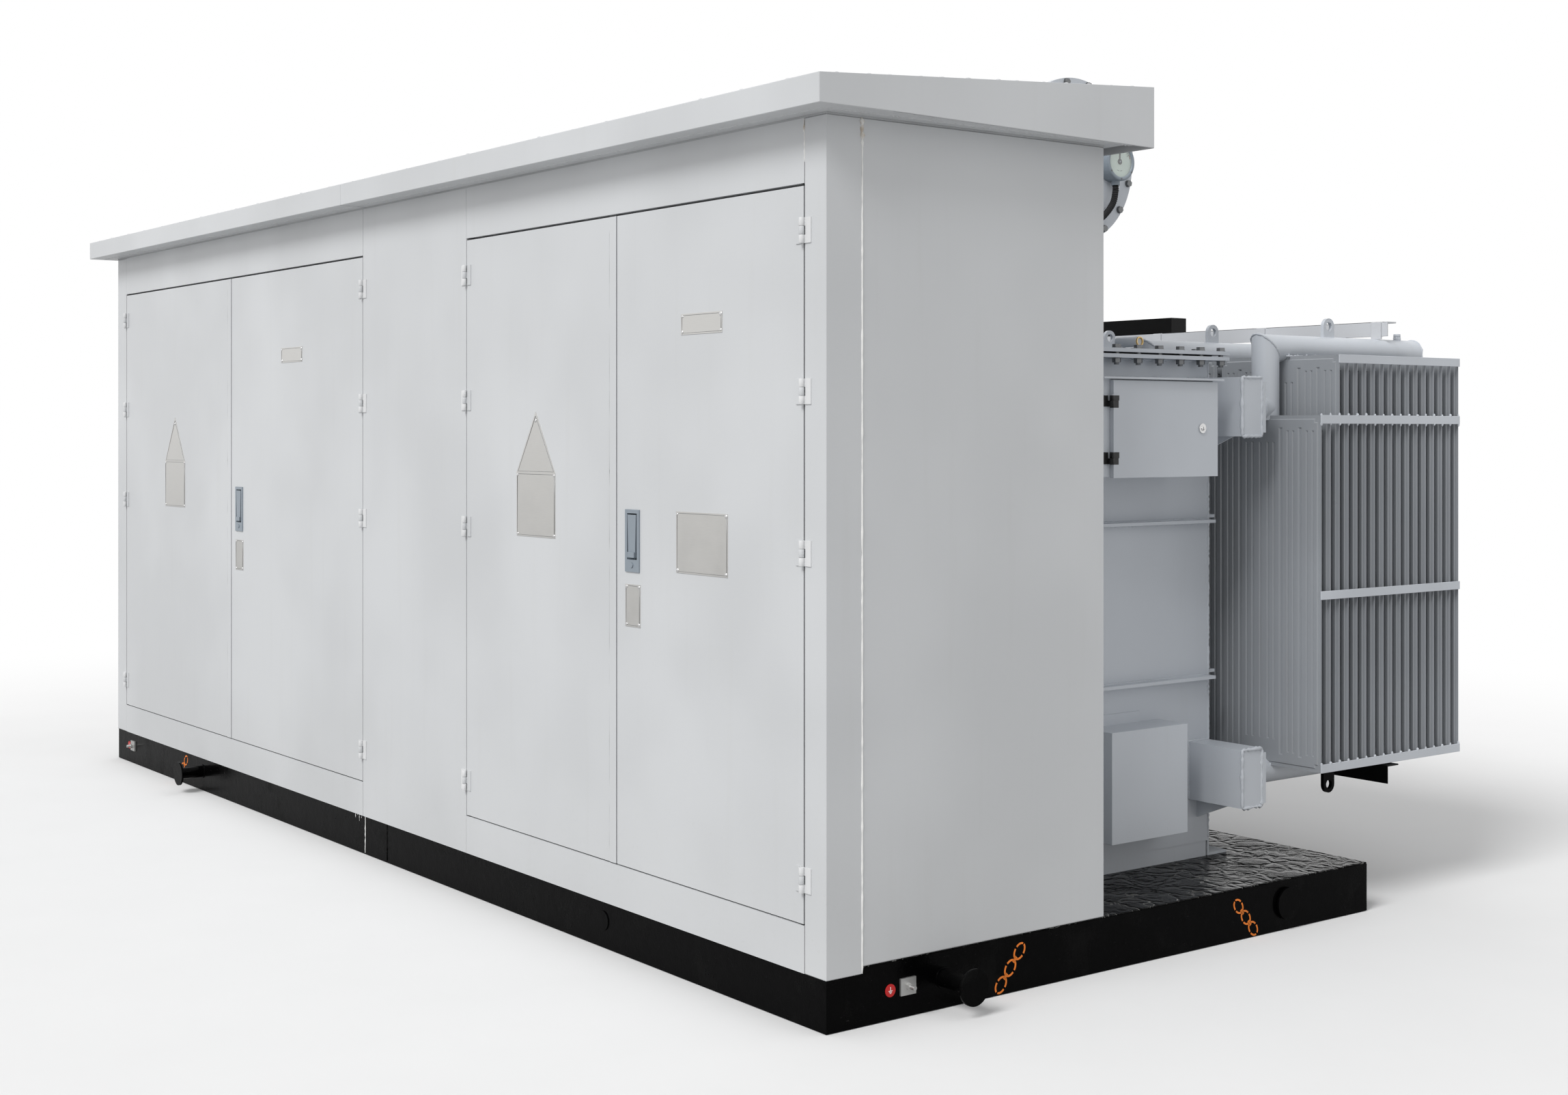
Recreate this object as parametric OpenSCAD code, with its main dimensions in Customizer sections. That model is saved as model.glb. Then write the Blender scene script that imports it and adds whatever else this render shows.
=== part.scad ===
// Pad-mounted transformer: a steel skid that carries a switchgear enclosure in front
// and an oil-filled tank with panel radiators behind.
// Millimetres. Origin: centre of the skid underside. +X runs along the front to its right-hand end,
// +Y runs from the doors to the radiators, +Z is up.

/* [Skid] */
// Depth of the skid, front to rear
skid_d = 2200; // [2100:10:2800]
// Height of the skid with its deck plate
skid_h = 155; // [140:1:220]
// Thickness of the deck plate
deck_t = 5; // [4:1:10]
// Web and flange thickness of the skid channels
rail_t = 8; // [6:1:12]
// Flange width of the skid channels
rail_w = 60; // [50:1:90]
// Distance between the cross beams
beam_pitch = 450; // [420:10:540]
// Half the distance between the lifting points on the front and rear sides
side_lift_x = 1625; // [1500:5:1700]
// Half the distance between the lifting points on the ends
end_lift_y = 700; // [560:5:800]

/* [Lifting pins] */
// Radius of a lifting pin
pin_r = 24; // [16:1:32]
// Radius of the disc on the pin's outer end
disc_r = 49; // [40:1:60]
// Thickness of the disc
disc_t = 8; // [5:1:12]
// How far a side pin stands out when it is pulled
side_pin_out = 107; // [70:1:160]
// How far an end pin stands out when it is pulled
end_pin_out = 123; // [70:1:160]
// Length of the sleeve inside the skid
sleeve_l = 180; // [120:5:240]

/* [Enclosure] */
// Length of the enclosure and of the skid below it
cab_l = 5400; // [5000:10:6600]
// Depth of the enclosure
cab_d = 1000; // [850:10:1250]
// Height of the top of the enclosure walls above the ground
cab_top = 2336; // [2250:1:2800]
// Sheet thickness of walls, doors and roof
sheet = 3; // [2:0.5:4]
// Width of the front corner post beside the low-voltage doors
post_w = 90; // [70:1:160]
// Width of the front corner post beside the high-voltage doors
post_w_hv = 120; // [70:1:160]
// How far the corner posts wrap onto the ends
post_wrap = 118; // [60:1:160]
// Width of the blank panel between the two door pairs
centre_w = 794; // [500:1:1000]
// Roof overhang on all four sides
overhang = 100; // [60:5:160]
// Height of the roof fascia at the front
fascia_front = 73; // [60:1:120]
// Height of the roof fascia at the rear
fascia_rear = 173; // [130:1:260]

/* [Doors] */
// Width of the opening for the low-voltage door pair
lv_opening = 1841; // [1500:1:2000]
// Height of the bottom edge of the door openings
door_bottom = 259; // [220:1:320]
// Height of the door openings
door_h = 1910; // [1800:1:1960]
// Depth of a door pan
door_t = 35; // [30:1:45]
// Gap between a door and its frame
door_gap = 4; // [3:0.5:6]
// Gap above a door
door_gap_top = 7; // [4:0.5:10]
// Width of the closing strip between the doors of a pair
strip_w = 36; // [20:1:60]
// Height of a door hinge
hinge_h = 66; // [50:1:90]
// Width of one hinge leaf
hinge_leaf = 32; // [24:1:45]

/* [Handles] */
// Width of the handle plate
handle_w = 75; // [60:1:100]
// Height of the handle plate
handle_h = 181; // [160:1:220]
// Height of the bottom edge of the handle plate
handle_z = 1123; // [900:1:1300]
// Distance from the free edge of the door to the middle of the handle
handle_inset = 86; // [70:1:130]

/* [Tank] */
// Length of the tank
tank_l = 2280; // [1900:10:2700]
// Distance from the right-hand end of the skid to the tank
tank_inset = 372; // [300:1:500]
// Depth of the tank
tank_d = 811; // [760:1:900]
// Height of the underside of the tank flange
flange_z = 1759; // [1700:1:2000]
// Wall thickness of the tank
tank_t = 8; // [6:1:12]
// Height of the tank feet
foot_h = 50; // [40:1:80]
// Overhang of the flange and cover over the tank walls
cover_over = 48.5; // [40:0.5:70]
// Thickness of the tank flange and of the cover
cover_t = 12; // [8:1:16]
// Thickness of the cover gasket
gasket_t = 6; // [3:1:8]
// Largest distance between the cover bolts
bolt_pitch = 107; // [80:1:160]

/* [Radiators] */
// Number of radiators
rad_count = 6; // [3:1:7]
// Distance between radiators
rad_pitch = 500; // [495:1:560]
// Width of a fin
fin_w = 480; // [400:1:480]
// Distance between fins
fin_pitch = 45; // [40:1:50]
// Thickness of a fin
fin_t = 9; // [6:1:16]
// Number of fins in a radiator
fin_count = 17; // [6:1:20]
// Number of short fins at the tank side
short_count = 2; // [1:1:3]
// Height of the bottom edge of the fins
fin_bottom = 456; // [420:1:520]
// Length of a tall fin
fin_h = 1319; // [1200:1:1500]
// Length of a short fin
short_h = 1126; // [1000:1:1250]
// Radius of the header pipes
pipe_r = 44.5; // [38:0.5:50]

/* [Conservator] */
// Radius of the oil conservator drum
drum_r = 235; // [180:1:250]
// Length of the oil conservator drum
drum_l = 1400; // [1000:10:1600]
// Height of the conservator axis
drum_z = 2400; // [2350:1:2600]
// Radius of the oil gauge
gauge_r = 62; // [50:1:75]

/* [Control box] */
// Width of the control box on the tank wall
ctrl_w = 461; // [380:1:520]
// Height of the control box
ctrl_h = 295; // [240:1:360]
// Depth of the control box
ctrl_d = 207; // [160:1:240]
// Width of the cable cover box below it
cover_box_w = 337; // [260:1:400]
// Height of the cable cover box
cover_box_h = 340; // [280:1:400]
// Depth of the cable cover box
cover_box_d = 122; // [90:1:150]

/* [Hidden] */
$fn = 48;
eps = 0.01;
seam = 0.8;
weld_gap = 0.3;
run_gap = 0.5;
fit_gap = 0.08;

// Planes that the pieces line up with
front_y = -skid_d / 2;
back_y = skid_d / 2;
end_x = cab_l / 2;
cab_back = front_y + cab_d;
skid_x = end_x - sheet;
skid_y = back_y - sheet;
lap_z = skid_h - 19;

// Skid
beam_web = 6;
beam_n = floor((skid_x - rail_w * 2) / beam_pitch);
pin_z = 80;
sleeve_r = pin_r + 5;
sleeve_proud = 3;
collar_r = pin_r + 8;
collar_t = 8;
side_travel = side_pin_out - disc_t - sleeve_proud - 1;
end_travel = end_pin_out - disc_t - sleeve_proud - 1;
anchor_r = 11;
anchor_x = 2475;
anchor_y = skid_y - rail_w / 2 - rail_t / 2;
entry_x = 1125;
entry_y = -760;
entry_w = 370;
entry_d = 300;
stud_z = 80;

// Doors
door_top = door_bottom + door_h;
lv_right = end_x - post_w;
lv_left = lv_right - lv_opening;
hv_right = lv_left - centre_w;
hv_left = -end_x + post_w_hv;
strip_shift = -5;
strip_proud = 2;
lip_w = 22;
seal_t = 7;
door_back = front_y + door_t;
lip_y = door_back + seal_t;
axis_out = 8;
knuckle_r = 7.5;
hinge_pin_r = 4;
leaf_t = 3;
leaf_start = 9;
hinge_levels = [0.0623, 0.5016, 0.7194, 0.9361];
stiff_levels = [0.16, 0.40, 0.63, 0.85];
stiff_h = 34;
stiff_d = 17;
bar_w = 20;
bar_t = 5;
bar_y = door_back - 9;
bar_end = 22;
bar_travel = 20;

// Handles
plate_t = 4;
tub_wall = 3;
tub_margin = 8;
tub_depth = 24;
lever_t = 14;
lever_top_w = 46;
lever_low_w = 36;
lever_pivot_z = handle_z + handle_h - 24;
lever_pivot_y = front_y + 3;
lever_proud = 1;
lever_head = 9;
lever_end_z = handle_z + 42;
lever_pin_r = 3;
button_r = 7;
button_z = handle_z + 20;
button_proud = 3;
button_travel = 3;

// Tank
tank_right = end_x - tank_inset;
tank_left = tank_right - tank_l;
tank_front = cab_back + cover_over + 5.5;
tank_back = tank_front + tank_d;
tank_x = (tank_left + tank_right) / 2;
tank_y = (tank_front + tank_back) / 2;
tank_floor = skid_h + foot_h;
gasket_z = flange_z + cover_t;
cover_z = gasket_z + gasket_t;
cover_top = cover_z + cover_t;
bolt_r = 8;
bolt_inset = 20;
rib_levels = [738, 1241];
rib_t = 10;
rib_w = 38;
rib_short = 6;
duct_w = 221;
duct_d = 94;
duct_low = [349, 184];
duct_high = [1515, 186];
port_t = 12;
port_w = 234;
port_h = 160;
gusset_l = 150;
gusset_h = 62;

// Radiators
rad_x0 = tank_right + duct_w / 2 - 0.5;
riser_y = tank_back + 151;
fin_y0 = tank_back + 129;
header_end = tank_back + 950;
upper_z = fin_bottom + fin_h + 26;
stub_z = fin_bottom + short_h + 25;
lower_z = fin_bottom - 18;
rail_bar_h = 27;
rail_bar_t = 4;
lug_y = tank_back + 468;
lug_t = 12;
lug_w = 56;
lug_hole = 15;
tie_y = tank_back + 735;
tie_z = upper_z + 54;
tie_w = 50;
beam_y = tank_back + 858;
beam_d = 85;
beam_top = upper_z + 171;

// Conservator and gauge
drum_right = tank_right - 211;
drum_left = drum_right - drum_l;
drum_t = 5;
rim_r = drum_r + 27;
rim_t = 12;
rim_bolt_n = 16;
rim_screw_r = 0.8 * bolt_r;
rim_bolt_r = drum_r + 14;
rim_bolt_turn = 9;
dome_r = drum_r - 30;
dome_t = 30;
gauge_y = tank_y + 130;
gauge_z = drum_z - 3;
gauge_x = drum_right + rim_t + dome_t;
gauge_t = 46;
pointer_l = 44;
saddle_t = 12;
saddle_w = 320;
saddle_x = [drum_left + 250, drum_right - 280];
oil_pipe_r = 20;
oil_pipe_x = tank_x - 130;
oil_flange_r = 44;
oil_flange_t = 14;
oil_flange_drop = 90;
relay_w = 130;
relay_h = 120;
saddle_foot = 112;

// Control box
ctrl_z = 1392;
ctrl_y = tank_back - 192 - ctrl_w;
ctrl_front = tank_right + ctrl_d;
ctrl_pan = 15;
ctrl_side = 40;
ctrl_wall = 2;
ctrl_hinges = [0.2, 0.78];
lock_y = ctrl_y + ctrl_w - 73;
lock_z = ctrl_z + 148;
lock_r = 11;
cbox_y = tank_back - 234 - cover_box_w;
cbox_z = 278;

// Equipment inside
part_x = lv_left - 21;
coil_end_gap = 132;
coil_gap = 54;
coil_r = (tank_l / 2 - coil_end_gap - coil_gap) / 3;
core_pitch = 2 * coil_r + coil_gap;
leg_r = coil_r - 168;
yoke_d = 2 * leg_r - 10;
yoke_low = [tank_floor + 60, 260];
leg_h = 800;
lv_coil = [leg_r + 0.6, coil_r - 103];
hv_coil = [coil_r - 78, coil_r];
hv_bush_x0 = tank_left + 140;
hv_bush_x1 = part_x - 120;
lv_bush_x0 = part_x + 350;
lv_bush_x1 = tank_right - 480;
hv_bush_x = [for (i = [0 : 2]) hv_bush_x0 + i * (hv_bush_x1 - hv_bush_x0) / 2];
lv_bush_x = [for (i = [0 : 3]) lv_bush_x0 + i * (lv_bush_x1 - lv_bush_x0) / 3];
hv_bush_z = 1500;
lv_bush_z = 1450;
hv_bush_l = 270;
lv_bush_l = 210;
bush_hole = 40;
palm_y = tank_front - lv_bush_l - 60;
palm_t = 12;
busbar_t = 10;
busbar_w = 80;
brk_x = (lv_bush_x[0] + lv_bush_x[3]) / 2;
brk_w = 870;
brk_z = 620;
brk_h = 510;
brk_back = palm_y - busbar_t;
brk_d = 250;
sw_x = -1050;
sw_w = 900;
sw_z = 1150;
sw_h = 360;
sw_d = 300;
tap_x = tank_left + 250;
tap_z = 1180;
tap_r = 26;
tap_l = 190;
wheel_r = 70;
knob_r = 34;

// Colours
paint = "#c9cccd";
tank_paint = "#a7acae";
black_paint = "#17181a";
zinc = "#b9bcbf";
rubber = "#202020";
blue_grey = "#7f8f9d";
copper = "#b87333";
porcelain = "#6a3b2a";
core_steel = "#55585c";
case_dark = "#3b4046";
case_grey = "#5b6066";
knob_red = "#b3201c";

// ---------- helpers ----------

// Box given by its low corner and its size
module box(at, size) {
    translate(at) cube(size);
}

// Box centred on X and Z, running from y0 to y1
module slab_y(x, z, w, h, y0, y1) {
    translate([x - w / 2, y0, z - h / 2]) cube([w, y1 - y0, h]);
}

// Cylinder along +X, +Y or -Y from a point
module rod_x(at, r, l) {
    translate(at) rotate([0, 90, 0]) cylinder(r = r, h = l);
}

module rod_y(at, r, l) {
    translate(at) rotate([-90, 0, 0]) cylinder(r = r, h = l);
}

module rod_z(at, r, l) {
    translate(at) cylinder(r = r, h = l);
}

// Puts its child, drawn about the origin with +X outwards, on the right (1) or left (-1) end
module on_end(side) {
    if (side > 0) children();
    else mirror([1, 0, 0]) children();
}

// Channel with its web outwards at x = 0 and its flanges towards -X, along Y
module channel_y(length, height) {
    translate([0, length / 2, 0]) rotate([90, 0, 0]) linear_extrude(length)
        polygon([[0, 0], [0, height], [-rail_w, height], [-rail_w, height - rail_t],
            [-rail_t, height - rail_t], [-rail_t, rail_t], [-rail_w, rail_t], [-rail_w, 0]]);
}

// ---------- skid ----------

rail_h = skid_h - deck_t;
side_rail_l = 2 * skid_x;
end_rail_l = 2 * (skid_y - rail_w) - 2 * weld_gap;

module side_rail() {
    difference() {
        union() {
            translate([0, skid_y, 0]) rotate([0, 0, 90]) channel_y(side_rail_l, rail_h);
            for (x = [-skid_x, skid_x - rail_t])
                box([x, skid_y - rail_w, 0], [rail_t, rail_w, rail_h]);
        }
        for (x = [-side_lift_x, side_lift_x])
            rod_y([x, skid_y - rail_t - 1, pin_z], sleeve_r + weld_gap, rail_t + 2);
        for (x = [-anchor_x, anchor_x])
            rod_z([x, anchor_y, -1], anchor_r, rail_t + 2);
    }
}

module end_rail() {
    difference() {
        translate([skid_x, 0, 0]) channel_y(end_rail_l, rail_h);
        for (y = [-end_lift_y, end_lift_y])
            rod_x([skid_x - rail_t - 1, y, pin_z], sleeve_r + weld_gap, rail_t + 2);
    }
}

module cross_beam(x) {
    half = end_rail_l / 2;
    box([x - beam_web / 2, -half, 0], [beam_web, 2 * half, rail_h]);
    for (z = [0, rail_h - rail_t])
        box([x - rail_w / 2, -half, z], [rail_w, 2 * half, rail_t]);
}

module skid_frame() {
    color(black_paint) {
        side_rail();
        mirror([0, 1, 0]) side_rail();
        end_rail();
        mirror([1, 0, 0]) end_rail();
        for (i = [-beam_n : beam_n]) cross_beam(i * beam_pitch);
    }
}

module deck_plate() {
    color(black_paint) difference() {
        box([-skid_x, -skid_y, rail_h], [2 * skid_x, 2 * skid_y, deck_t]);
        for (x = [-entry_x, entry_x])
            box([x - entry_w / 2, entry_y - entry_d / 2, rail_h - 1], [entry_w, entry_d, deck_t + 2]);
    }
}

// Sleeve along +X whose outer end stands a little proud of the skid at x = 0
module sleeve(capped) {
    total = sleeve_l + sleeve_proud;
    difference() {
        rod_x([-sleeve_l, 0, 0], sleeve_r, total);
        rod_x([-sleeve_l - 1, 0, 0], pin_r + run_gap, total + (capped ? 1 - disc_t : 2));
    }
}

// Pin along +X; pulled is how far its disc stands out now, out is how far it can
module lift_pin(pulled, out) {
    shaft = sleeve_l + out - disc_t + 1;
    tip = pulled - disc_t;
    rod_x([tip, 0, 0], disc_r, disc_t);
    rod_x([tip - shaft, 0, 0], pin_r, shaft);
    rod_x([tip - shaft - collar_t, 0, 0], collar_r, collar_t);
}

// Places a child on the skid: turn 0 is the right end, 90 the rear, 180 the left end, 270 the front
module at_right(y) translate([skid_x, y, pin_z]) children();
module at_left(y) translate([-skid_x, y, pin_z]) mirror([1, 0, 0]) children();
module at_rear(x) translate([x, skid_y, pin_z]) rotate([0, 0, 90]) children();
module at_front(x) translate([x, -skid_y, pin_z]) rotate([0, 0, -90]) children();

module lift_sleeves() {
    color(black_paint) {
        for (y = [-end_lift_y, end_lift_y]) {
            at_right(y) sleeve(false);
            at_left(y) sleeve(false);
        }
        at_front(-side_lift_x) sleeve(false);
        at_rear(-side_lift_x) sleeve(false);
        at_front(side_lift_x) sleeve(true);
        at_rear(side_lift_x) sleeve(true);
    }
}

end_pin_in = end_pin_out - end_travel;

module lift_pin_front() color(black_paint) at_front(-side_lift_x) lift_pin(side_pin_out, side_pin_out);
module lift_pin_rear() color(black_paint) at_rear(-side_lift_x) lift_pin(side_pin_out, side_pin_out);
module lift_pin_right_front() color(black_paint) at_right(-end_lift_y) lift_pin(end_pin_out, end_pin_out);
module lift_pin_right_rear() color(black_paint) at_right(end_lift_y) lift_pin(end_pin_in, end_pin_out);
module lift_pin_left_front() color(black_paint) at_left(-end_lift_y) lift_pin(end_pin_out, end_pin_out);
module lift_pin_left_rear() color(black_paint) at_left(end_lift_y) lift_pin(end_pin_in, end_pin_out);

stud_plate = [6, 52, 45];
stud_r = 6;
stud_head_r = 10;
stud_head_t = 8;
stud_nut_t = 10;
earth_disc_r = 17;
earth_disc_t = 1.5;
earth_y = -828;
earth_disc_y = -886;
earth_front_x = -2490;

// Terminal pad with its bolt, drawn with +X outwards; disc_side puts the marker disc left or right
module earth_terminal(disc_side) {
    translate([0, -stud_plate.y / 2, -stud_plate.z / 2]) cube(stud_plate);
    rod_x([0, 0, 0], stud_r, stud_plate.x + stud_head_t + 18);
    translate([stud_plate.x, 0, 0]) rotate([0, 90, 0]) cylinder(r = stud_head_r, h = stud_nut_t, $fn = 6);
    rod_x([0, disc_side * (earth_y - earth_disc_y), -3], earth_disc_r, earth_disc_t);
}

module earth_terminals() {
    color(zinc) {
        translate([skid_x, earth_y, stud_z]) earth_terminal(-1);
        translate([earth_front_x, -skid_y, stud_z]) rotate([0, 0, -90]) earth_terminal(-1);
    }
}

// ---------- enclosure ----------

// Return and stop lip along one vertical edge of a door opening; side +1 when the frame is on the right
module jamb(x, side) {
    low = door_bottom;
    h = door_top - door_bottom;
    box([x - (side < 0 ? sheet : 0), front_y, low], [sheet, lip_y + sheet - front_y, h]);
    box([side > 0 ? x - lip_w : x, lip_y, low], [lip_w, sheet, h]);
}

module front_post(x0, x1, hinge_x, side) {
    wrap_x = side > 0 ? end_x - sheet : -end_x;
    box([x0, front_y, lap_z], [x1 - x0, sheet, cab_top - lap_z]);
    box([wrap_x, front_y, lap_z], [sheet, post_wrap, cab_top - lap_z]);
    jamb(hinge_x, side);
}

rear_angle = 50;

module rear_post() {
    x = end_x - sheet - rear_angle;
    y = cab_back - sheet - rear_angle;
    box([x, y + rear_angle - sheet, skid_h], [rear_angle, sheet, cab_top - skid_h]);
    box([x + rear_angle - sheet, y, skid_h], [sheet, rear_angle, cab_top - skid_h]);
}

module corner_posts() {
    color(paint) {
        front_post(lv_right, end_x, lv_right, 1);
        front_post(-end_x, hv_left, hv_left, -1);
        rear_post();
        mirror([1, 0, 0]) rear_post();
    }
}

module centre_panel() {
    color(paint) {
        box([hv_right + seam, front_y, lap_z], [centre_w - 2 * seam, sheet, cab_top - lap_z]);
        jamb(lv_left, -1);
        jamb(hv_right, 1);
        box([hv_right, front_y, door_bottom], [2 * seam, sheet, door_h]);
        box([lv_left - 2 * seam, front_y, door_bottom], [2 * seam, sheet, door_h]);
    }
}

// Header above and sill below one door pair, each with its return and stop lip
module rail_pair(x0, x1) {
    w = x1 - x0 - 2 * seam;
    inner0 = x0 + lip_w + seam;
    inner_w = x1 - x0 - 2 * (lip_w + seam);
    depth = lip_y + sheet - front_y;
    box([x0 + seam, front_y, door_top], [w, sheet, cab_top - door_top]);
    box([x0 + seam, front_y, lap_z], [w, sheet, door_bottom - lap_z]);
    box([inner0, front_y, door_top], [inner_w, depth, sheet]);
    box([inner0, front_y, door_bottom - sheet], [inner_w, depth, sheet]);
    box([inner0, lip_y, door_top - lip_w], [inner_w, sheet, lip_w + sheet]);
    box([inner0, lip_y, door_bottom - sheet], [inner_w, sheet, lip_w + sheet]);
}

module door_rails() {
    color(paint) {
        rail_pair(lv_left, lv_right);
        rail_pair(hv_left, hv_right);
    }
}

end_fold = 40;

module end_panel() {
    y0 = front_y + post_wrap + seam;
    box([end_x - sheet, y0, skid_h], [sheet, cab_back - y0, cab_top - skid_h]);
    box([end_x - end_fold, cab_back - sheet, skid_h], [end_fold, sheet, cab_top - skid_h]);
}

module end_panels() {
    color(paint) {
        end_panel();
        mirror([1, 0, 0]) end_panel();
    }
}

hole_clear = 6;
shed_hv = 56;
shed_lv = 50;

module rear_panel() {
    w = end_x - end_fold - weld_gap;
    color(paint) difference() {
        box([-w, cab_back - sheet, skid_h], [2 * w, sheet, cab_top - skid_h]);
        for (x = hv_bush_x) rod_y([x, cab_back - sheet - 1, hv_bush_z], shed_hv + hole_clear, sheet + 2);
        for (x = lv_bush_x) rod_y([x, cab_back - sheet - 1, lv_bush_z], shed_lv + hole_clear, sheet + 2);
        rod_y([tap_x, cab_back - sheet - 1, tap_z], tap_r + hole_clear, sheet + 2);
    }
}

module partition() {
    y1 = cab_back - sheet;
    depth = y1 - (front_y + sheet);
    color(paint) box([part_x - sheet / 2, y1 - depth, skid_h], [sheet, depth, cab_top - skid_h]);
}

roof_low = cab_top + 9;
roof_y0 = front_y - overhang;
roof_y1 = cab_back + overhang;
roof_lap = 15;
roof_skirt = 50;

// Side view of the roof shell, Y and Z, shrunk by a wall thickness
module roof_outline(wall) {
    polygon([[roof_y0 + wall, roof_low - (wall > 0 ? roof_skirt : 0)],
        [roof_y0 + wall, roof_low + fascia_front - wall],
        [roof_y1 - wall, roof_low - roof_lap + fascia_rear - wall],
        [roof_y1 - wall, roof_low - roof_lap - (wall > 0 ? roof_skirt : 0)]]);
}

module roof_half() {
    length = end_x + overhang - seam / 2;
    difference() {
        translate([seam / 2, 0, 0]) rotate([90, 0, 90]) linear_extrude(length) roof_outline(0);
        translate([seam / 2 + sheet, 0, 0]) rotate([90, 0, 90])
            linear_extrude(length - 2 * sheet) roof_outline(sheet);
        box([0, roof_y0 + sheet, roof_low - sheet - roof_skirt],
            [seam + 2 * sheet, roof_y1 - roof_y0 - 2 * sheet, roof_skirt]);
    }
    box([seam / 2, roof_y0, roof_low - sheet], [length, cab_back + overhang / 2 - roof_y0, sheet]);
}

module roof_panels() {
    color(paint) {
        roof_half();
        mirror([1, 0, 0]) roof_half();
    }
}

// Rectangular ring in the XY or XZ plane
module ring_xy(x0, x1, y0, y1, z, w, t) {
    difference() {
        box([x0, y0, z], [x1 - x0, y1 - y0, t]);
        box([x0 + w, y0 + w, z - 1], [x1 - x0 - 2 * w, y1 - y0 - 2 * w, t + 2]);
    }
}

module ring_xz(x0, x1, z0, z1, y, w, t) {
    difference() {
        box([x0, y, z0], [x1 - x0, t, z1 - z0]);
        box([x0 + w, y - 1, z0 + w], [x1 - x0 - 2 * w, t + 2, z1 - z0 - 2 * w]);
    }
}

seal_w = 12;
eave_w = 30;

module rubber_seals() {
    t = seal_t - weld_gap;
    y = door_back + weld_gap;
    edge = door_gap + 3;
    color(rubber) {
        ring_xz(lv_left + edge, lv_right - edge, door_bottom + edge, door_top - edge, y, seal_w, t);
        ring_xz(hv_left + edge, hv_right - edge, door_bottom + edge, door_top - edge, y, seal_w, t);
        ring_xy(-end_x, end_x, front_y, cab_back, cab_top, eave_w, roof_low - sheet - cab_top);
        ring_xy(tank_left - cover_over + bolt_inset * 2, tank_right + cover_over - bolt_inset * 2,
            tank_front - cover_over + bolt_inset * 2, tank_back + cover_over - bolt_inset * 2,
            gasket_z, cover_over - bolt_inset, gasket_t);
    }
}

// ---------- hinges and doors ----------

function hinge_z(level) = door_bottom + door_h * level;
knuckle_h = hinge_h / 3;

// Hinge halves about the hinge axis, drawn with their own panel towards +X and its face at y = axis_out
module frame_leaf() {
    half = hinge_h / 2;
    box([leaf_start, axis_out - leaf_t, -half], [hinge_leaf - leaf_start, leaf_t, hinge_h]);
    for (z = [-half, half - knuckle_h + run_gap]) {
        box([0, axis_out - leaf_t, z], [leaf_start + eps, leaf_t - run_gap, knuckle_h - run_gap]);
        rod_z([0, 0, z], knuckle_r, knuckle_h - run_gap);
    }
    rod_z([0, 0, -half], hinge_pin_r, hinge_h);
}

module door_leaf() {
    half = hinge_h / 2;
    mid = knuckle_h / 2 - run_gap / 2;
    difference() {
        union() {
            box([leaf_start, axis_out - leaf_t, -half], [hinge_leaf - leaf_start, leaf_t, hinge_h]);
            box([0, axis_out - leaf_t, -mid], [leaf_start + eps, leaf_t, 2 * mid]);
            rod_z([0, 0, -mid], knuckle_r, 2 * mid);
        }
        rod_z([0, 0, -half], hinge_pin_r + fit_gap, hinge_h);
    }
}

// side +1: hinge on the right edge of the door, so the frame is towards +X
module at_hinges(x, side) {
    for (level = hinge_levels)
        translate([x, front_y - axis_out, hinge_z(level)])
            mirror([side > 0 ? 0 : 1, 0, 0]) children();
}

// The hinge axis lies in the middle of the gap beside the door
function hinge_x(edge, side) = edge - side * door_gap / 2;

module hinge_frame_leaves() {
    color(paint) {
        at_hinges(hinge_x(lv_right, 1), 1) frame_leaf();
        at_hinges(hinge_x(lv_left, -1), -1) frame_leaf();
        at_hinges(hinge_x(hv_right, 1), 1) frame_leaf();
        at_hinges(hinge_x(hv_left, -1), -1) frame_leaf();
    }
}

lv_strip0 = (lv_left + lv_right - strip_w) / 2 + strip_shift;
hv_strip0 = (hv_left + hv_right - strip_w) / 2 + strip_shift;
lv_handle_x = lv_strip0 + strip_w + door_gap + handle_inset;
hv_handle_x = hv_strip0 + strip_w + door_gap + handle_inset;
pan_low = door_bottom + door_gap;
pan_high = door_top - door_gap_top;

// Open pan with stiffeners across its back; passive doors carry the closing strip
module door_pan(x0, x1) {
    w = x1 - x0;
    h = pan_high - pan_low;
    difference() {
        box([x0, front_y, pan_low], [w, door_t, h]);
        box([x0 + sheet, front_y + sheet, pan_low + sheet], [w - 2 * sheet, door_t, h - 2 * sheet]);
    }
    for (level = stiff_levels) {
        z = pan_low + h * level - stiff_h / 2;
        box([x0 + sheet, front_y + sheet, z], [w - 2 * sheet, stiff_d, sheet]);
        box([x0 + sheet, front_y + stiff_d, z], [w - 2 * sheet, sheet, stiff_h]);
    }
}

module hinge_side(edge, side) {
    at_hinges(hinge_x(edge, side), -side) door_leaf();
}

guide_w = 34;
guide_h = 16;

// Opening for the handle tub and the guides that hold the lock bar
module active_door(x0, x1, handle_x) {
    mid = handle_z + handle_h / 2;
    h = pan_high - pan_low;
    difference() {
        door_pan(x0, x1);
        slab_y(handle_x, mid, handle_w - 2 * tub_margin + 1, handle_h - 2 * tub_margin + 1,
            front_y - 1, front_y + sheet + 1);
    }
    for (level = stiff_levels) difference() {
        slab_y(handle_x, pan_low + h * level, guide_w, guide_h,
            front_y + sheet + stiff_d - eps, door_back - 2);
        slab_y(handle_x, pan_low + h * level, bar_w + 2 * run_gap, guide_h + 2,
            bar_y - run_gap, bar_y + bar_t + run_gap);
    }
}

module passive_door(x0, strip0) {
    door_pan(x0, strip0);
    box([strip0 - eps, front_y - strip_proud, pan_low], [strip_w, door_t - 5, pan_high - pan_low]);
}

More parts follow.
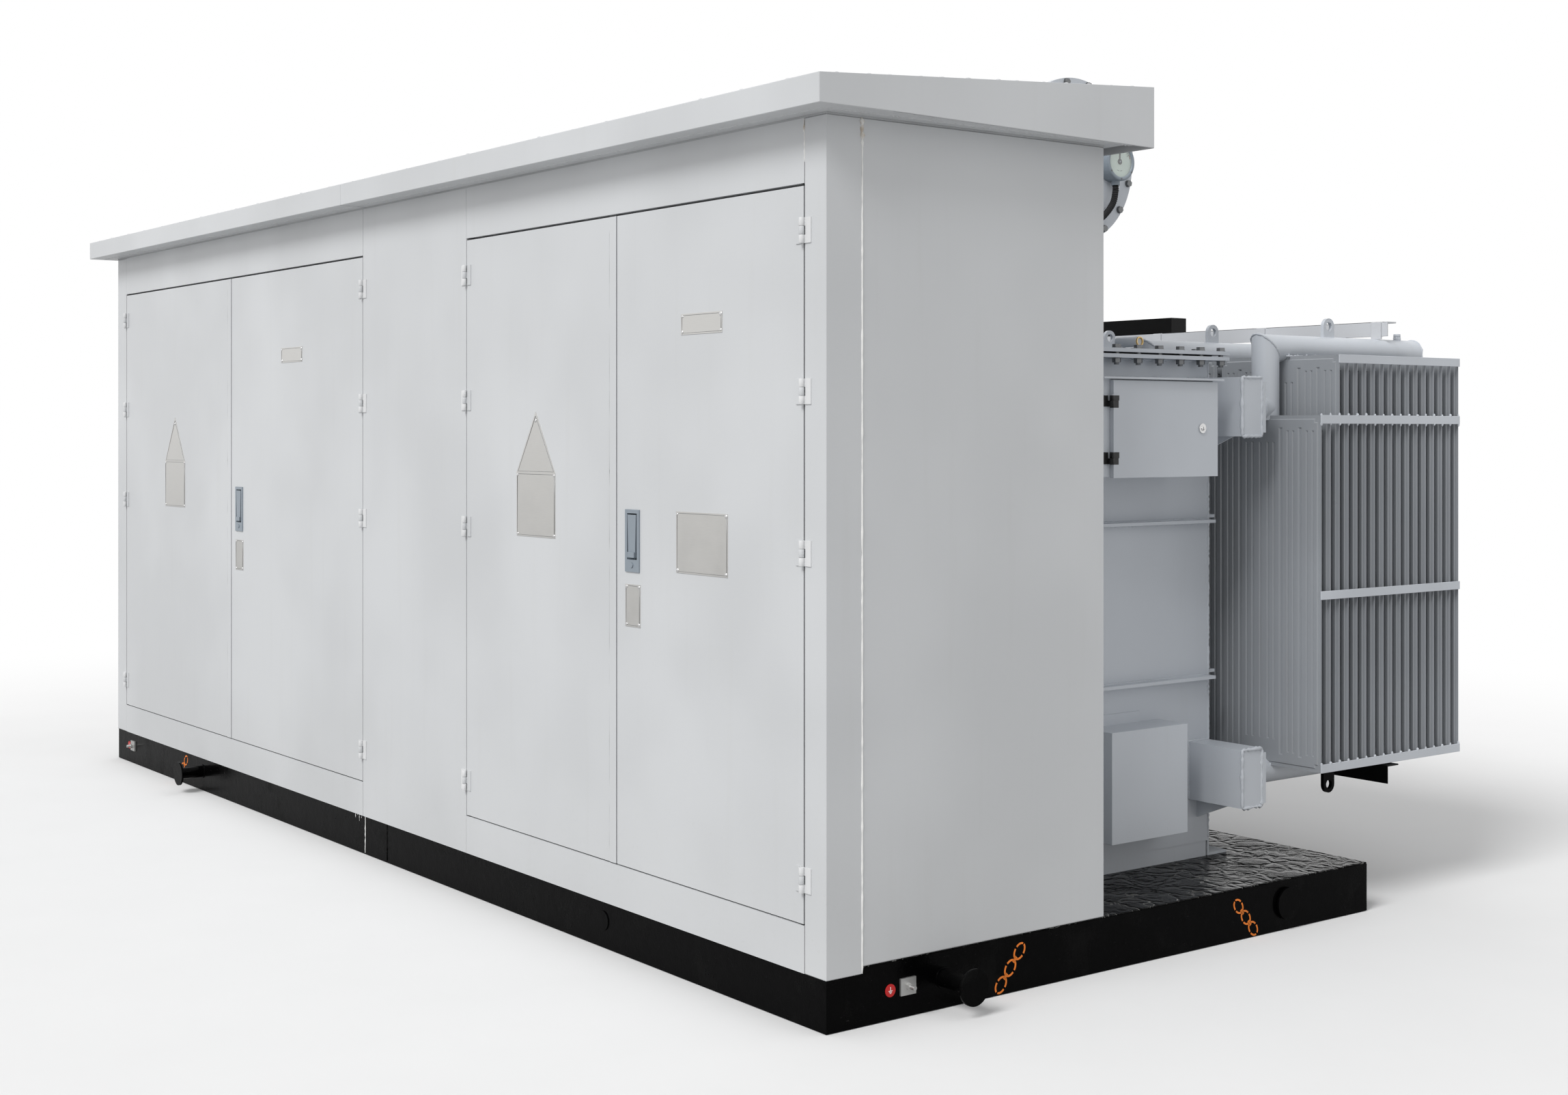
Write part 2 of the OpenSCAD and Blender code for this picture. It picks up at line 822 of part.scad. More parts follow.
module door_lv_right() {
    color(paint) {
        active_door(lv_strip0 + strip_w + door_gap, lv_right - door_gap, lv_handle_x);
        hinge_side(lv_right, 1);
    }
}

module door_lv_left() {
    color(paint) {
        passive_door(lv_left + door_gap, lv_strip0);
        hinge_side(lv_left, -1);
    }
}

module door_hv_right() {
    color(paint) {
        active_door(hv_strip0 + strip_w + door_gap, hv_right - door_gap, hv_handle_x);
        hinge_side(hv_right, 1);
    }
}

module door_hv_left() {
    color(paint) {
        passive_door(hv_left + door_gap, hv_strip0);
        hinge_side(hv_left, -1);
    }
}

// ---------- plates on the doors ----------

sign_t = 1.5;
rivet_r = 3;
rivet_t = 1.2;
rivet_in = 7;
guide_plate = [80, 123, 964];
name_plate = [250, 172, 1134];
room_plate = [200, 58, 1800];
sign_w = 240;
sign_z = 1201;
sign_rect_h = 200;
sign_tri_h = 191;

// Plate of a given width and height with a rivet in each corner, low edge at z
module riveted_plate(x, z, w, h) {
    slab_y(x, z + h / 2, w, h, front_y - sign_t, front_y);
    for (dx = [-1, 1])
        for (dz = [-1, 1])
            rod_y([x + dx * (w / 2 - rivet_in), front_y - sign_t - rivet_t,
                z + h / 2 + dz * (h / 2 - rivet_in)], rivet_r, rivet_t + eps);
}

module guide_label(handle_x) {
    riveted_plate(handle_x + 1, guide_plate[2], guide_plate[0], guide_plate[1]);
}

module sign_plate(x) {
    riveted_plate(x, sign_z, sign_w, sign_rect_h);
    translate([x, front_y, sign_z + sign_rect_h]) rotate([90, 0, 0]) linear_extrude(sign_t)
        polygon([[-sign_w / 2, -eps], [sign_w / 2, -eps], [0, sign_tri_h]]);
    rod_y([x, front_y - sign_t - rivet_t, sign_z + sign_rect_h + sign_tri_h - 4 * rivet_in],
        rivet_r, rivet_t + eps);
}

lv_name_x = lv_handle_x + 352;
lv_room_x = lv_handle_x + 351;
hv_room_x = hv_handle_x + 532;
lv_sign_x = lv_left + 461;
hv_sign_x = hv_left + 638;

module plates_lv_right() {
    color(zinc) {
        guide_label(lv_handle_x);
        riveted_plate(lv_name_x, name_plate[2], name_plate[0], name_plate[1]);
        riveted_plate(lv_room_x, room_plate[2], room_plate[0], room_plate[1]);
    }
}

module plates_lv_left() color(zinc) sign_plate(lv_sign_x);

module plates_hv_right() {
    color(zinc) {
        guide_label(hv_handle_x);
        riveted_plate(hv_room_x, room_plate[2], room_plate[0], room_plate[1]);
    }
}

module plates_hv_left() color(zinc) sign_plate(hv_sign_x);

// ---------- door handles ----------

tub_w = handle_w - 2 * tub_margin;
tub_h = handle_h - 2 * tub_margin;
pocket_low = handle_z + 36;
pocket_high = handle_z + handle_h - tub_margin - tub_wall;

module handle_plate(x) {
    mid = handle_z + handle_h / 2;
    difference() {
        union() {
            slab_y(x, mid, handle_w, handle_h, front_y - plate_t, front_y);
            slab_y(x, mid, tub_w, tub_h, front_y - eps, front_y + tub_depth);
        }
        slab_y(x, (pocket_low + pocket_high) / 2, tub_w - 2 * tub_wall, pocket_high - pocket_low,
            front_y - plate_t - 1, front_y + tub_depth - tub_wall);
        rod_y([x, front_y - plate_t - 1, button_z], button_r + run_gap, plate_t + tub_depth - tub_wall);
    }
    rod_x([x - tub_w / 2 + eps, lever_pivot_y, lever_pivot_z], lever_pin_r, tub_w - 2 * eps);
}

// Tapered lever that hangs from its pivot and lies in the pocket
module handle_lever(x) {
    depth0 = front_y - plate_t - lever_proud;
    difference() {
        union() {
            translate([x, depth0 + lever_t, lever_pivot_z]) rotate([90, 0, 0]) linear_extrude(lever_t)
                polygon([[-lever_top_w / 2, lever_head], [lever_top_w / 2, lever_head],
                    [lever_low_w / 2, lever_end_z - lever_pivot_z],
                    [-lever_low_w / 2, lever_end_z - lever_pivot_z]]);
            slab_y(x, lever_end_z + 8, lever_low_w, 16, depth0 - 4, depth0 + eps);
        }
        rod_x([x - lever_top_w, lever_pivot_y, lever_pivot_z], lever_pin_r + fit_gap, 2 * lever_top_w);
    }
}

module lock_button(x) {
    rod_y([x, front_y - plate_t - button_proud, button_z], button_r, button_proud + plate_t + 10);
}

// Flat bar along the whole door; lifting the lever raises it
module lock_bar(x) {
    low = pan_low + bar_end;
    high = pan_high - bar_end - bar_travel;
    box([x - bar_w / 2, bar_y, low], [bar_w, bar_t, high - low]);
}

module handle_plate_lv() color(blue_grey) handle_plate(lv_handle_x);
module handle_plate_hv() color(blue_grey) handle_plate(hv_handle_x);
module handle_lever_lv() color(blue_grey) handle_lever(lv_handle_x);
module handle_lever_hv() color(blue_grey) handle_lever(hv_handle_x);
module lock_button_lv() color(blue_grey) lock_button(lv_handle_x);
module lock_button_hv() color(blue_grey) lock_button(hv_handle_x);
module lock_bar_lv() color(zinc) lock_bar(lv_handle_x);
module lock_bar_hv() color(zinc) lock_bar(hv_handle_x);

// ---------- tank ----------

// Box duct that carries a radiator port past the end wall, drawn for the right-hand end
module duct(level) {
    z = level[0];
    h = level[1];
    y = tank_back - duct_d;
    box([tank_right - eps, y, z], [duct_w, duct_d, h]);
    translate([tank_right - eps, y + duct_d / 2, z + eps]) rotate([90, 0, 0])
        linear_extrude(tank_t) polygon([[0, 0], [gusset_l, 0], [0, -gusset_h]]);
}

// Oil way inside a duct, open to the tank
module duct_way(level) {
    box([tank_right - tank_t - 1, tank_back - duct_d + tank_t, level[0] + tank_t],
        [duct_w + 1, duct_d - 2 * tank_t, level[1] - 2 * tank_t]);
}

module radiator_ports() {
    for (i = [0 : rad_count - 1])
        for (level = [stub_z, lower_z])
            slab_y(rad_x0 - i * rad_pitch, level, port_w, port_h, tank_back - eps, tank_back + port_t);
}

// Flat bars on edge along the two end walls and the rear wall
module tank_rib(z) {
    for (x = [tank_left - rib_w, tank_right - eps])
        box([x, tank_front, z - rib_t / 2], [rib_w + eps, tank_d - rib_short, rib_t]);
    box([tank_left + rib_short, tank_back - eps, z + rib_t], [tank_l - 2 * rib_short, rib_w, rib_t]);
}

bolt_nx = ceil((tank_l + 2 * cover_over - 2 * bolt_inset) / bolt_pitch);
bolt_ny = ceil((tank_d + 2 * cover_over - 2 * bolt_inset) / bolt_pitch);
bolt_x0 = tank_left - cover_over + bolt_inset;
bolt_y0 = tank_front - cover_over + bolt_inset;
bolt_dx = (tank_l + 2 * cover_over - 2 * bolt_inset) / bolt_nx;
bolt_dy = (tank_d + 2 * cover_over - 2 * bolt_inset) / bolt_ny;
bolt_spots = concat(
    [for (i = [0 : bolt_nx]) for (j = [0, bolt_ny]) [bolt_x0 + i * bolt_dx, bolt_y0 + j * bolt_dy]],
    [for (j = [1 : bolt_ny - 1]) for (i = [0, bolt_nx]) [bolt_x0 + i * bolt_dx, bolt_y0 + j * bolt_dy]]);

module bolt_holes(z, h) {
    for (spot = bolt_spots) rod_z([spot.x, spot.y, z - 1], bolt_r + run_gap, h + 2);
}

module tank_flange() {
    difference() {
        box([tank_left - cover_over, tank_front - cover_over, flange_z],
            [tank_l + 2 * cover_over, tank_d + 2 * cover_over, cover_t]);
        box([tank_left + tank_t, tank_front + tank_t, flange_z - 1],
            [tank_l - 2 * tank_t, tank_d - 2 * tank_t, cover_t + 2]);
        bolt_holes(flange_z, cover_t);
    }
}

foot_out = 93;
foot_out_front = 40;
foot_t = 8;
foot_rise = 24;
foot_in = 3;

// Folded Z feet along the front and rear bottom edges and plain plates under the ends
module tank_feet() {
    l = tank_l - 2 * foot_in;
    for (side = [-1, 1]) {
        y = side > 0 ? tank_back : tank_front;
        out = side > 0 ? foot_out : foot_out_front;
        box([tank_x - l / 2, y - (side > 0 ? 0 : foot_t) - side * eps, skid_h],
            [l, foot_t, foot_h + foot_rise]);
        box([tank_x - l / 2, side > 0 ? y : y - out, skid_h], [l, out, foot_t]);
    }
    for (x = [tank_left + foot_in, tank_right - foot_in - foot_t])
        box([x, tank_front + foot_t, skid_h], [foot_t, tank_d - 2 * foot_t, foot_h + eps]);
}

module tank() {
    h = flange_z - tank_floor;
    color(tank_paint) {
        difference() {
            union() {
                box([tank_left, tank_front, tank_floor], [tank_l, tank_d, h + eps]);
                for (level = [duct_low, duct_high]) {
                    duct(level);
                    translate([2 * tank_x, 0, 0]) mirror([1, 0, 0]) duct(level);
                }
                for (z = rib_levels) tank_rib(z);
                radiator_ports();
                tank_feet();
            }
            box([tank_left + tank_t, tank_front + tank_t, tank_floor + tank_t],
                [tank_l - 2 * tank_t, tank_d - 2 * tank_t, h]);
            for (level = [duct_low, duct_high]) {
                duct_way(level);
                translate([2 * tank_x, 0, 0]) mirror([1, 0, 0]) duct_way(level);
            }
            for (x = hv_bush_x) rod_y([x, tank_front - 1, hv_bush_z], bush_hole + run_gap, tank_t + 2);
            for (x = lv_bush_x) rod_y([x, tank_front - 1, lv_bush_z], bush_hole + run_gap, tank_t + 2);
            rod_y([tap_x, tank_front - 1, tap_z], tap_r + run_gap, tank_t + 2);
        }
        tank_flange();
    }
}

filler_r = 17;
filler_l = 90;
filler_x = tank_right - 38;
filler_y = tank_y + 124;
filler_up = 27;
filler_neck_r = 12;
relief_x = tank_left + 300;
relief_r = 75;
relief_base_h = 40;
relief_cap_r = 52;
relief_cap_h = 60;

// Cover with its bolt holes, the filling valve and a relief valve dome
module tank_cover() {
    pipe_z = cover_top + filler_up;
    color(tank_paint) {
        difference() {
            box([tank_left - cover_over, tank_front - cover_over, cover_z],
                [tank_l + 2 * cover_over, tank_d + 2 * cover_over, cover_t]);
            bolt_holes(cover_z, cover_t);
        }
        rod_z([filler_x - filler_l + filler_r, filler_y, cover_top - eps], filler_neck_r, filler_up);
        rod_x([filler_x - filler_l, filler_y, pipe_z], filler_r, filler_l);
        rod_z([relief_x, tank_y, cover_top - eps], relief_r, relief_base_h);
        rod_z([relief_x, tank_y, cover_top + relief_base_h - 2 * eps], relief_cap_r, relief_cap_h);
    }
}

// Through bolt with head, washers and nut, head at the top of a clamped stack
module through_bolt(stack, r) {
    head = 1.25 * r;
    hex = 1.75 * r;
    nut = 1.6 * r;
    tail = 2.4 * r;
    washer = r / 4;
    washer_r = 1.9 * r;
    cylinder(r = r, h = stack + washer);
    translate([0, 0, stack]) cylinder(r = washer_r, h = washer);
    translate([0, 0, stack + washer - eps]) cylinder(r = hex, h = head, $fn = 6);
    translate([0, 0, -washer]) cylinder(r = washer_r, h = washer);
    translate([0, 0, -washer - nut]) cylinder(r = hex, h = nut + eps, $fn = 6);
    translate([0, 0, -washer - tail]) cylinder(r = r, h = tail + washer + eps);
}

rim_stack = 2 * rim_t;

module tank_bolts() {
    color(zinc) {
        for (spot = bolt_spots)
            translate([spot.x, spot.y, flange_z]) through_bolt(cover_top - flange_z, bolt_r);
        for (i = [0 : rim_bolt_n - 1])
            translate([drum_right - rim_t, tank_y, drum_z])
                rotate([rim_bolt_turn + i * 360 / rim_bolt_n, 0, 0])
                    translate([0, rim_bolt_r, 0]) rotate([0, 90, 0]) through_bolt(rim_stack, rim_screw_r);
    }
}

// ---------- core and windings ----------

leg_x = [tank_x - core_pitch, tank_x, tank_x + core_pitch];
yoke_top_z = yoke_low[0] + yoke_low[1] + leg_h;
yoke_l = 2 * core_pitch + 2 * leg_r;
clamp_t = 20;
clamp_h = 120;
clamp_low_h = 180;
clamp_rise = 90;

module core() {
    color(core_steel) {
        for (x = leg_x) rod_z([x, tank_y, yoke_low[0] + yoke_low[1] - eps], leg_r, leg_h + 2 * eps);
        for (z = [yoke_low[0], yoke_top_z])
            box([tank_x - yoke_l / 2, tank_y - yoke_d / 2, z], [yoke_l, yoke_d, yoke_low[1]]);
        for (side = [-1, 1]) {
            y = side > 0 ? tank_y + yoke_d / 2 - eps : tank_y - yoke_d / 2 - clamp_t + eps;
            box([tank_x - yoke_l / 2, y, tank_floor + tank_t], [yoke_l, clamp_t, clamp_low_h]);
            box([tank_x - yoke_l / 2, y, yoke_top_z + clamp_rise], [yoke_l, clamp_t, clamp_h]);
        }
    }
}

module coil(x, size, h) {
    difference() {
        rod_z([x, tank_y, yoke_low[0] + yoke_low[1]], size[1], h);
        rod_z([x, tank_y, yoke_low[0]], size[0], yoke_low[1] + h + 1);
    }
}

lv_coil_short = 20;
hv_coil_short = 60;

module windings() {
    color(copper) for (x = leg_x) {
        coil(x, lv_coil, leg_h - lv_coil_short);
        coil(x, hv_coil, leg_h - hv_coil_short);
    }
}

base_t = 12;
base_over = 16;
stub_in = 70;
shed_t = 10;
shed_start = 40;
shed_end = 20;
terminal_r = 12;
terminal_l = 45;
stem_w = 60;
palm_h = 100;

// Insulator along -Y from the tank wall: flange, sheds and inner stub
module insulator(x, z, l, core_r, shed_r, sheds) {
    pitch = (l - shed_start - shed_end) / sheds;
    rod_y([x, tank_front - base_t, z], core_r + base_over, base_t);
    rod_y([x, tank_front - l, z], core_r, l + stub_in);
    for (i = [0 : sheds - 1])
        rod_y([x, tank_front - shed_start - i * pitch, z], shed_r, shed_t);
}

module hv_bushings() {
    color(porcelain) for (x = hv_bush_x) {
        insulator(x, hv_bush_z, hv_bush_l, bush_hole, shed_hv, 5);
        rod_y([x, tank_front - hv_bush_l - terminal_l, hv_bush_z], terminal_r, terminal_l + eps);
    }
}

module lv_bushings() {
    color(porcelain) for (x = lv_bush_x) {
        insulator(x, lv_bush_z, lv_bush_l, bush_hole, shed_lv, 3);
        slab_y(x, lv_bush_z, stem_w, stem_w, palm_y + palm_t - eps, tank_front - lv_bush_l + eps);
        slab_y(x, lv_bush_z, busbar_w, palm_h, palm_y, palm_y + palm_t);
    }
}

module lv_busbars() {
    z = brk_z + brk_h / 2;
    color(copper) for (x = lv_bush_x)
        box([x - busbar_w / 2, palm_y - busbar_t, z], [busbar_w, busbar_t, lv_bush_z + palm_h / 2 - z]);
}

knob_stem_r = 9;
knob_stem_l = 24;
knob_hole_l = 26;
knob_t = 14;
grip_w = 18;
grip_l = 2.6 * knob_r;
grip_t = 20;
stand_w = 40;

// Breaker block on a four-legged stand, with a hole for the knob's stem
module lv_breaker() {
    y0 = brk_back - brk_d;
    color(case_dark) difference() {
        union() {
            box([brk_x - brk_w / 2, y0, brk_z], [brk_w, brk_d, brk_h]);
            for (x = [brk_x - brk_w / 2, brk_x + brk_w / 2 - stand_w])
                for (y = [y0, brk_back - stand_w])
                    box([x, y, skid_h], [stand_w, stand_w, brk_z - skid_h + eps]);
        }
        rod_y([brk_x, y0 - 1, brk_z + brk_h / 2], knob_stem_r + fit_gap, knob_hole_l + 1);
    }
}

// Rotary knob with a grip bar and a stem, turning about -Y, front face plate at y
module rotary_knob(x, y, z) {
    face = y - run_gap - knob_t;
    rod_y([x, face, z], knob_r, knob_t);
    slab_y(x, z, grip_w, grip_l, face - grip_t, face + eps);
    rod_y([x, y - run_gap - eps, z], knob_stem_r, knob_stem_l);
}

module breaker_knob() color(knob_red) rotary_knob(brk_x, brk_back - brk_d, brk_z + brk_h / 2);

sw_back = cab_back - sheet;
fuse_r = 40;
fuse_l = 420;
fuse_pitch = 300;
fuse_clip = 40;
fuse_plate_t = 12;
fuse_plate_h = fuse_l + 60;
sw_knob_x = sw_x + sw_w / 2 - 100;

// Switch block on the rear wall with three fuse tubes on brackets below it
module load_switch() {
    y0 = sw_back - sw_d;
    color(case_grey) difference() {
        union() {
            box([sw_x - sw_w / 2, y0, sw_z], [sw_w, sw_d, sw_h]);
            box([sw_x - sw_w / 2, sw_back - fuse_plate_t, sw_z - fuse_plate_h],
                [sw_w, fuse_plate_t, fuse_plate_h + eps]);
            for (x = [sw_x - fuse_pitch, sw_x, sw_x + fuse_pitch]) {
                rod_z([x, sw_back - sw_d / 2, sw_z - fuse_l], fuse_r, fuse_l + eps);
                box([x - fuse_clip / 2, sw_back - sw_d / 2, sw_z - fuse_l - fuse_clip / 2],
                    [fuse_clip, sw_d / 2 - fuse_plate_t + 1, fuse_clip]);
            }
        }
        rod_y([sw_knob_x, y0 - 1, sw_z + sw_h / 2], knob_stem_r + fit_gap, knob_hole_l + 1);
    }
}

module switch_knob() color(knob_red) rotary_knob(sw_knob_x, sw_back - sw_d, sw_z + sw_h / 2);

wheel_t = 16;
wheel_bore = 8;
wheel_rim = 12;
wheel_hub_r = 20;
wheel_spoke = 12;
tap_flange = 20;
tap_in = 90;
tap_shaft = 30;

module tap_changer() {
    color(tank_paint) {
        rod_y([tap_x, tank_front - base_t, tap_z], tap_r + tap_flange, base_t);
        rod_y([tap_x, tank_front - tap_l, tap_z], tap_r, tap_l + tap_in);
        rod_y([tap_x, tank_front - tap_l - tap_shaft, tap_z], wheel_bore, tap_shaft + eps);
    }
}

// Spoked handwheel on the tap changer's shaft
module tap_handwheel() {
    y = tank_front - tap_l - run_gap - wheel_t;
    color(knob_red) difference() {
        union() {
            difference() {
                rod_y([tap_x, y, tap_z], wheel_r, wheel_t);
                rod_y([tap_x, y - 1, tap_z], wheel_r - wheel_rim, wheel_t + 2);
            }
            rod_y([tap_x, y, tap_z], wheel_hub_r, wheel_t);
            slab_y(tap_x, tap_z, 2 * wheel_r - wheel_rim, wheel_spoke, y + 2, y + wheel_t - 2);
            slab_y(tap_x, tap_z, wheel_spoke, 2 * wheel_r - wheel_rim, y + 2, y + wheel_t - 2);
        }
        rod_y([tap_x, y - 1, tap_z], wheel_bore + fit_gap, wheel_t + 2);
    }
}

// ---------- radiators ----------

function fin_top(k) = fin_bottom + (k < short_count ? short_h : fin_h);
first_tall = fin_y0 + short_count * fin_pitch - fin_t / 2;
last_fin = fin_y0 + (fin_count - 1) * fin_pitch + fin_t / 2;

module edge_bar(z, y0) {
    for (x = [-fin_w / 2 - rail_bar_t, fin_w / 2 - eps])
        box([x, y0, z], [rail_bar_t + eps, last_fin - y0, rail_bar_h]);
}

// Eye plate on a header, with its hole along X
module lug(z0, z1, hole_z) {
    difference() {
        box([-lug_t / 2, lug_y - lug_w / 2, min(z0, z1)], [lug_t, lug_w, abs(z1 - z0)]);
        rod_x([-lug_t, lug_y, hole_z], lug_hole, 2 * lug_t);
    }
}

lug_reach = 107;
low_lug_reach = 113;
lug_root = 12;
mid_bar_z = fin_bottom + 545;
riser_lap = 10;
plug_r = 10;
plug_h = 22;

module radiator() {
    pipe0 = tank_back + port_t;
    for (k = [0 : fin_count - 1])
        box([-fin_w / 2, fin_y0 + k * fin_pitch - fin_t / 2, fin_bottom],
            [fin_w, fin_t, fin_top(k) - fin_bottom]);
    rod_y([0, pipe0, lower_z], pipe_r, header_end - pipe_r / 2 - pipe0);
    rod_y([0, pipe0, stub_z], pipe_r, riser_y + riser_lap - pipe0);
    rod_z([0, riser_y, stub_z], pipe_r, upper_z - stub_z);
    rod_y([0, riser_y, upper_z], pipe_r, header_end - pipe_r / 2 - riser_y);
    translate([0, riser_y, upper_z]) sphere(r = pipe_r);
    translate([0, riser_y + riser_lap, stub_z]) sphere(r = pipe_r);
    edge_bar(fin_bottom + fin_h - rail_bar_h, first_tall);
    edge_bar(fin_bottom + short_h - rail_bar_h, fin_y0 - fin_t / 2);
    edge_bar(mid_bar_z, fin_y0 - fin_t / 2);
    edge_bar(fin_bottom, fin_y0 - fin_t / 2);
    lug(upper_z + pipe_r - lug_root, upper_z + lug_reach, upper_z + lug_reach - lug_w / 2);
    lug(lower_z - pipe_r + lug_root, lower_z - low_lug_reach, lower_z - low_lug_reach + lug_w / 2);
    rod_z([0, last_fin - fin_t, upper_z], plug_r, pipe_r + plug_h);
}

module radiators() {
    color(tank_paint) for (i = [0 : rad_count - 1])
        translate([rad_x0 - i * rad_pitch, 0, 0]) radiator();
}

tie_t = 5;
tie_over = 41;
low_w = 63;
post_plate_w = 40;
post_plate_t = 8;
beam_short = 44;

// Angle along X with its corner at the top rear
module angle_x(x0, x1, y, z, w) {
    box([x0, y, z], [x1 - x0, tie_t, w]);
    box([x0, y, z + w - tie_t], [x1 - x0, w, tie_t]);
}

module radiator_braces() {
    x1 = rad_x0 + tie_over;
    x0 = rad_x0 - (rad_count - 1) * rad_pitch - tie_over;
    color(tank_paint) {
        angle_x(x0, x1, tie_y, tie_z, tie_w);
        for (i = [0 : rad_count - 1])
            box([rad_x0 - i * rad_pitch - post_plate_w / 2, tie_y - post_plate_t, upper_z + pipe_r],
                [post_plate_w, post_plate_t, tie_w + post_plate_t]);
    }
    color(black_paint) {
        angle_x(x0, x1, tie_y, lower_z - pipe_r - low_w, low_w);
        box([x0, beam_y, upper_z + pipe_r],
            [rad_x0 - 2 * rad_pitch - beam_short - x0, beam_d, beam_top - upper_z - pipe_r]);
    }
}

// ---------- conservator ----------

module conservator() {
    color(tank_paint) {
        difference() {
            union() {
                rod_x([drum_left, tank_y, drum_z], drum_r, drum_l - rim_t);
                rod_x([drum_right - rim_t, tank_y, drum_z], rim_r, rim_t);
                rod_z([oil_pipe_x, tank_y, cover_top], oil_pipe_r, drum_z - drum_r - cover_top + 20);
                for (z = [cover_top, drum_z - drum_r - oil_flange_drop])
                    rod_z([oil_pipe_x, tank_y, z], oil_flange_r, oil_flange_t);
                slab_y(oil_pipe_x, (cover_top + drum_z - drum_r) / 2, relay_w, relay_h,
                    tank_y - relay_h / 2, tank_y + relay_h / 2);
                for (x = saddle_x) {
                    box([x, tank_y - saddle_w / 2, cover_top],
                        [saddle_t, saddle_w, drum_z - drum_r / 2 - cover_top]);
                    box([x + (saddle_t - saddle_foot) / 2, tank_y - saddle_w / 2, cover_top],
                        [saddle_foot, saddle_w, saddle_t]);
                }
            }
            rod_x([drum_left + drum_t, tank_y, drum_z], drum_r - drum_t, drum_l + 1);
            for (i = [0 : rim_bolt_n - 1])
                translate([drum_right - rim_t, tank_y, drum_z])
                    rotate([rim_bolt_turn + i * 360 / rim_bolt_n, 0, 0])
                        translate([-1, rim_bolt_r, 0]) rotate([0, 90, 0])
                            cylinder(r = rim_screw_r + run_gap, h = rim_t + 2);
        }
    }
}

// Bolted end cover with its raised dished middle
module conservator_cover() {
    color(tank_paint) difference() {
        translate([drum_right, tank_y, drum_z]) rotate([0, 90, 0]) rotate_extrude()
            polygon([[0, 0], [rim_r, 0], [rim_r, rim_t], [dome_r + 12, rim_t],
                [dome_r, rim_t + dome_t / 2], [dome_r - 24, rim_t + dome_t], [0, rim_t + dome_t]]);
        for (i = [0 : rim_bolt_n - 1])
            translate([drum_right, tank_y, drum_z])
                rotate([rim_bolt_turn + i * 360 / rim_bolt_n, 0, 0])
                    translate([-1, rim_bolt_r, 0]) rotate([0, 90, 0])
                        cylinder(r = rim_screw_r + run_gap, h = rim_t + 2);
    }
}

bezel_w = 7;
dial_in = 5;
hub_r = 3;
gland_top_r = 14;
gland_top_l = 12;
pointer_w = 4;
pointer_t = 1.5;

// Gauge case with a recessed dial and a hub for the pointer
module oil_gauge() {
    color(blue_grey) {
        difference() {
            rod_x([gauge_x, gauge_y, gauge_z], gauge_r, gauge_t);
            rod_x([gauge_x + gauge_t - dial_in, gauge_y, gauge_z], gauge_r - bezel_w, dial_in + 1);
        }
        rod_x([gauge_x + gauge_t - dial_in - eps, gauge_y, gauge_z], hub_r, dial_in - 1);
        rod_z([gauge_x + gauge_t / 2, gauge_y, gauge_z - gauge_r - gland_top_l],
            gland_top_r, gland_top_l + 6);
    }
}

module gauge_pointer() {
    x = gauge_x + gauge_t - dial_in + run_gap;
    color(black_paint) difference() {
        union() {
            rod_x([x, gauge_y, gauge_z], 3 * hub_r, pointer_t);
            box([x, gauge_y - pointer_w / 2, gauge_z], [pointer_t, pointer_w, pointer_l]);
        }
        rod_x([x - 1, gauge_y, gauge_z], hub_r + fit_gap, 4);
    }
}

conduit_r = 11;
conduit_x = gauge_x + gauge_t / 2;
gland_t = 16;
gland_x = tank_right + 90;
gland_y = ctrl_y + 40;
// Route of the gauge cable's conduit, from the gauge down to the control box
conduit_path = [
    [conduit_x, gauge_y, gauge_z - gauge_r - gland_top_l],
    [conduit_x, gauge_y, gauge_z - gauge_r - 21],
    [conduit_x, gauge_y, gauge_z - gauge_r - 30],
    [conduit_x, gauge_y - 15, gauge_z - gauge_r - 75],
    [conduit_x, gauge_y - 70, gauge_z - gauge_r - 125],
    [conduit_x, gauge_y - 160, gauge_z - gauge_r - 165],
    [conduit_x, gauge_y - 245, gauge_z - gauge_r - 215],
    [conduit_x + 30, gauge_y - 300, gauge_z - gauge_r - 300],
    [conduit_x + 120, gauge_y - 330, gauge_z - gauge_r - 420],
    [gland_x, gland_y, ctrl_z + ctrl_h + 140],
    [gland_x, gland_y, ctrl_z + ctrl_h + 50],
    [gland_x, gland_y, ctrl_z + ctrl_h + gland_t]];

conduit_sides = 10;
conduit_steps = 5;

// Point on a smooth curve through the route, t from 0 to 1 between points i and i + 1
function clamp_point(i) = conduit_path[max(0, min(i, len(conduit_path) - 1))];
function curve_point(i, t) =
    let (a = clamp_point(i - 1), b = clamp_point(i), c = clamp_point(i + 1), d = clamp_point(i + 2))
    (2 * b + (c - a) * t + (2 * a - 5 * b + 4 * c - d) * t * t + (3 * b - a - 3 * c + d) * t * t * t) / 2;

conduit_points = concat(
    [for (i = [0 : len(conduit_path) - 2])
        for (k = [0 : conduit_steps - 1]) curve_point(i, k / conduit_steps)],
    [conduit_path[len(conduit_path) - 1]]);

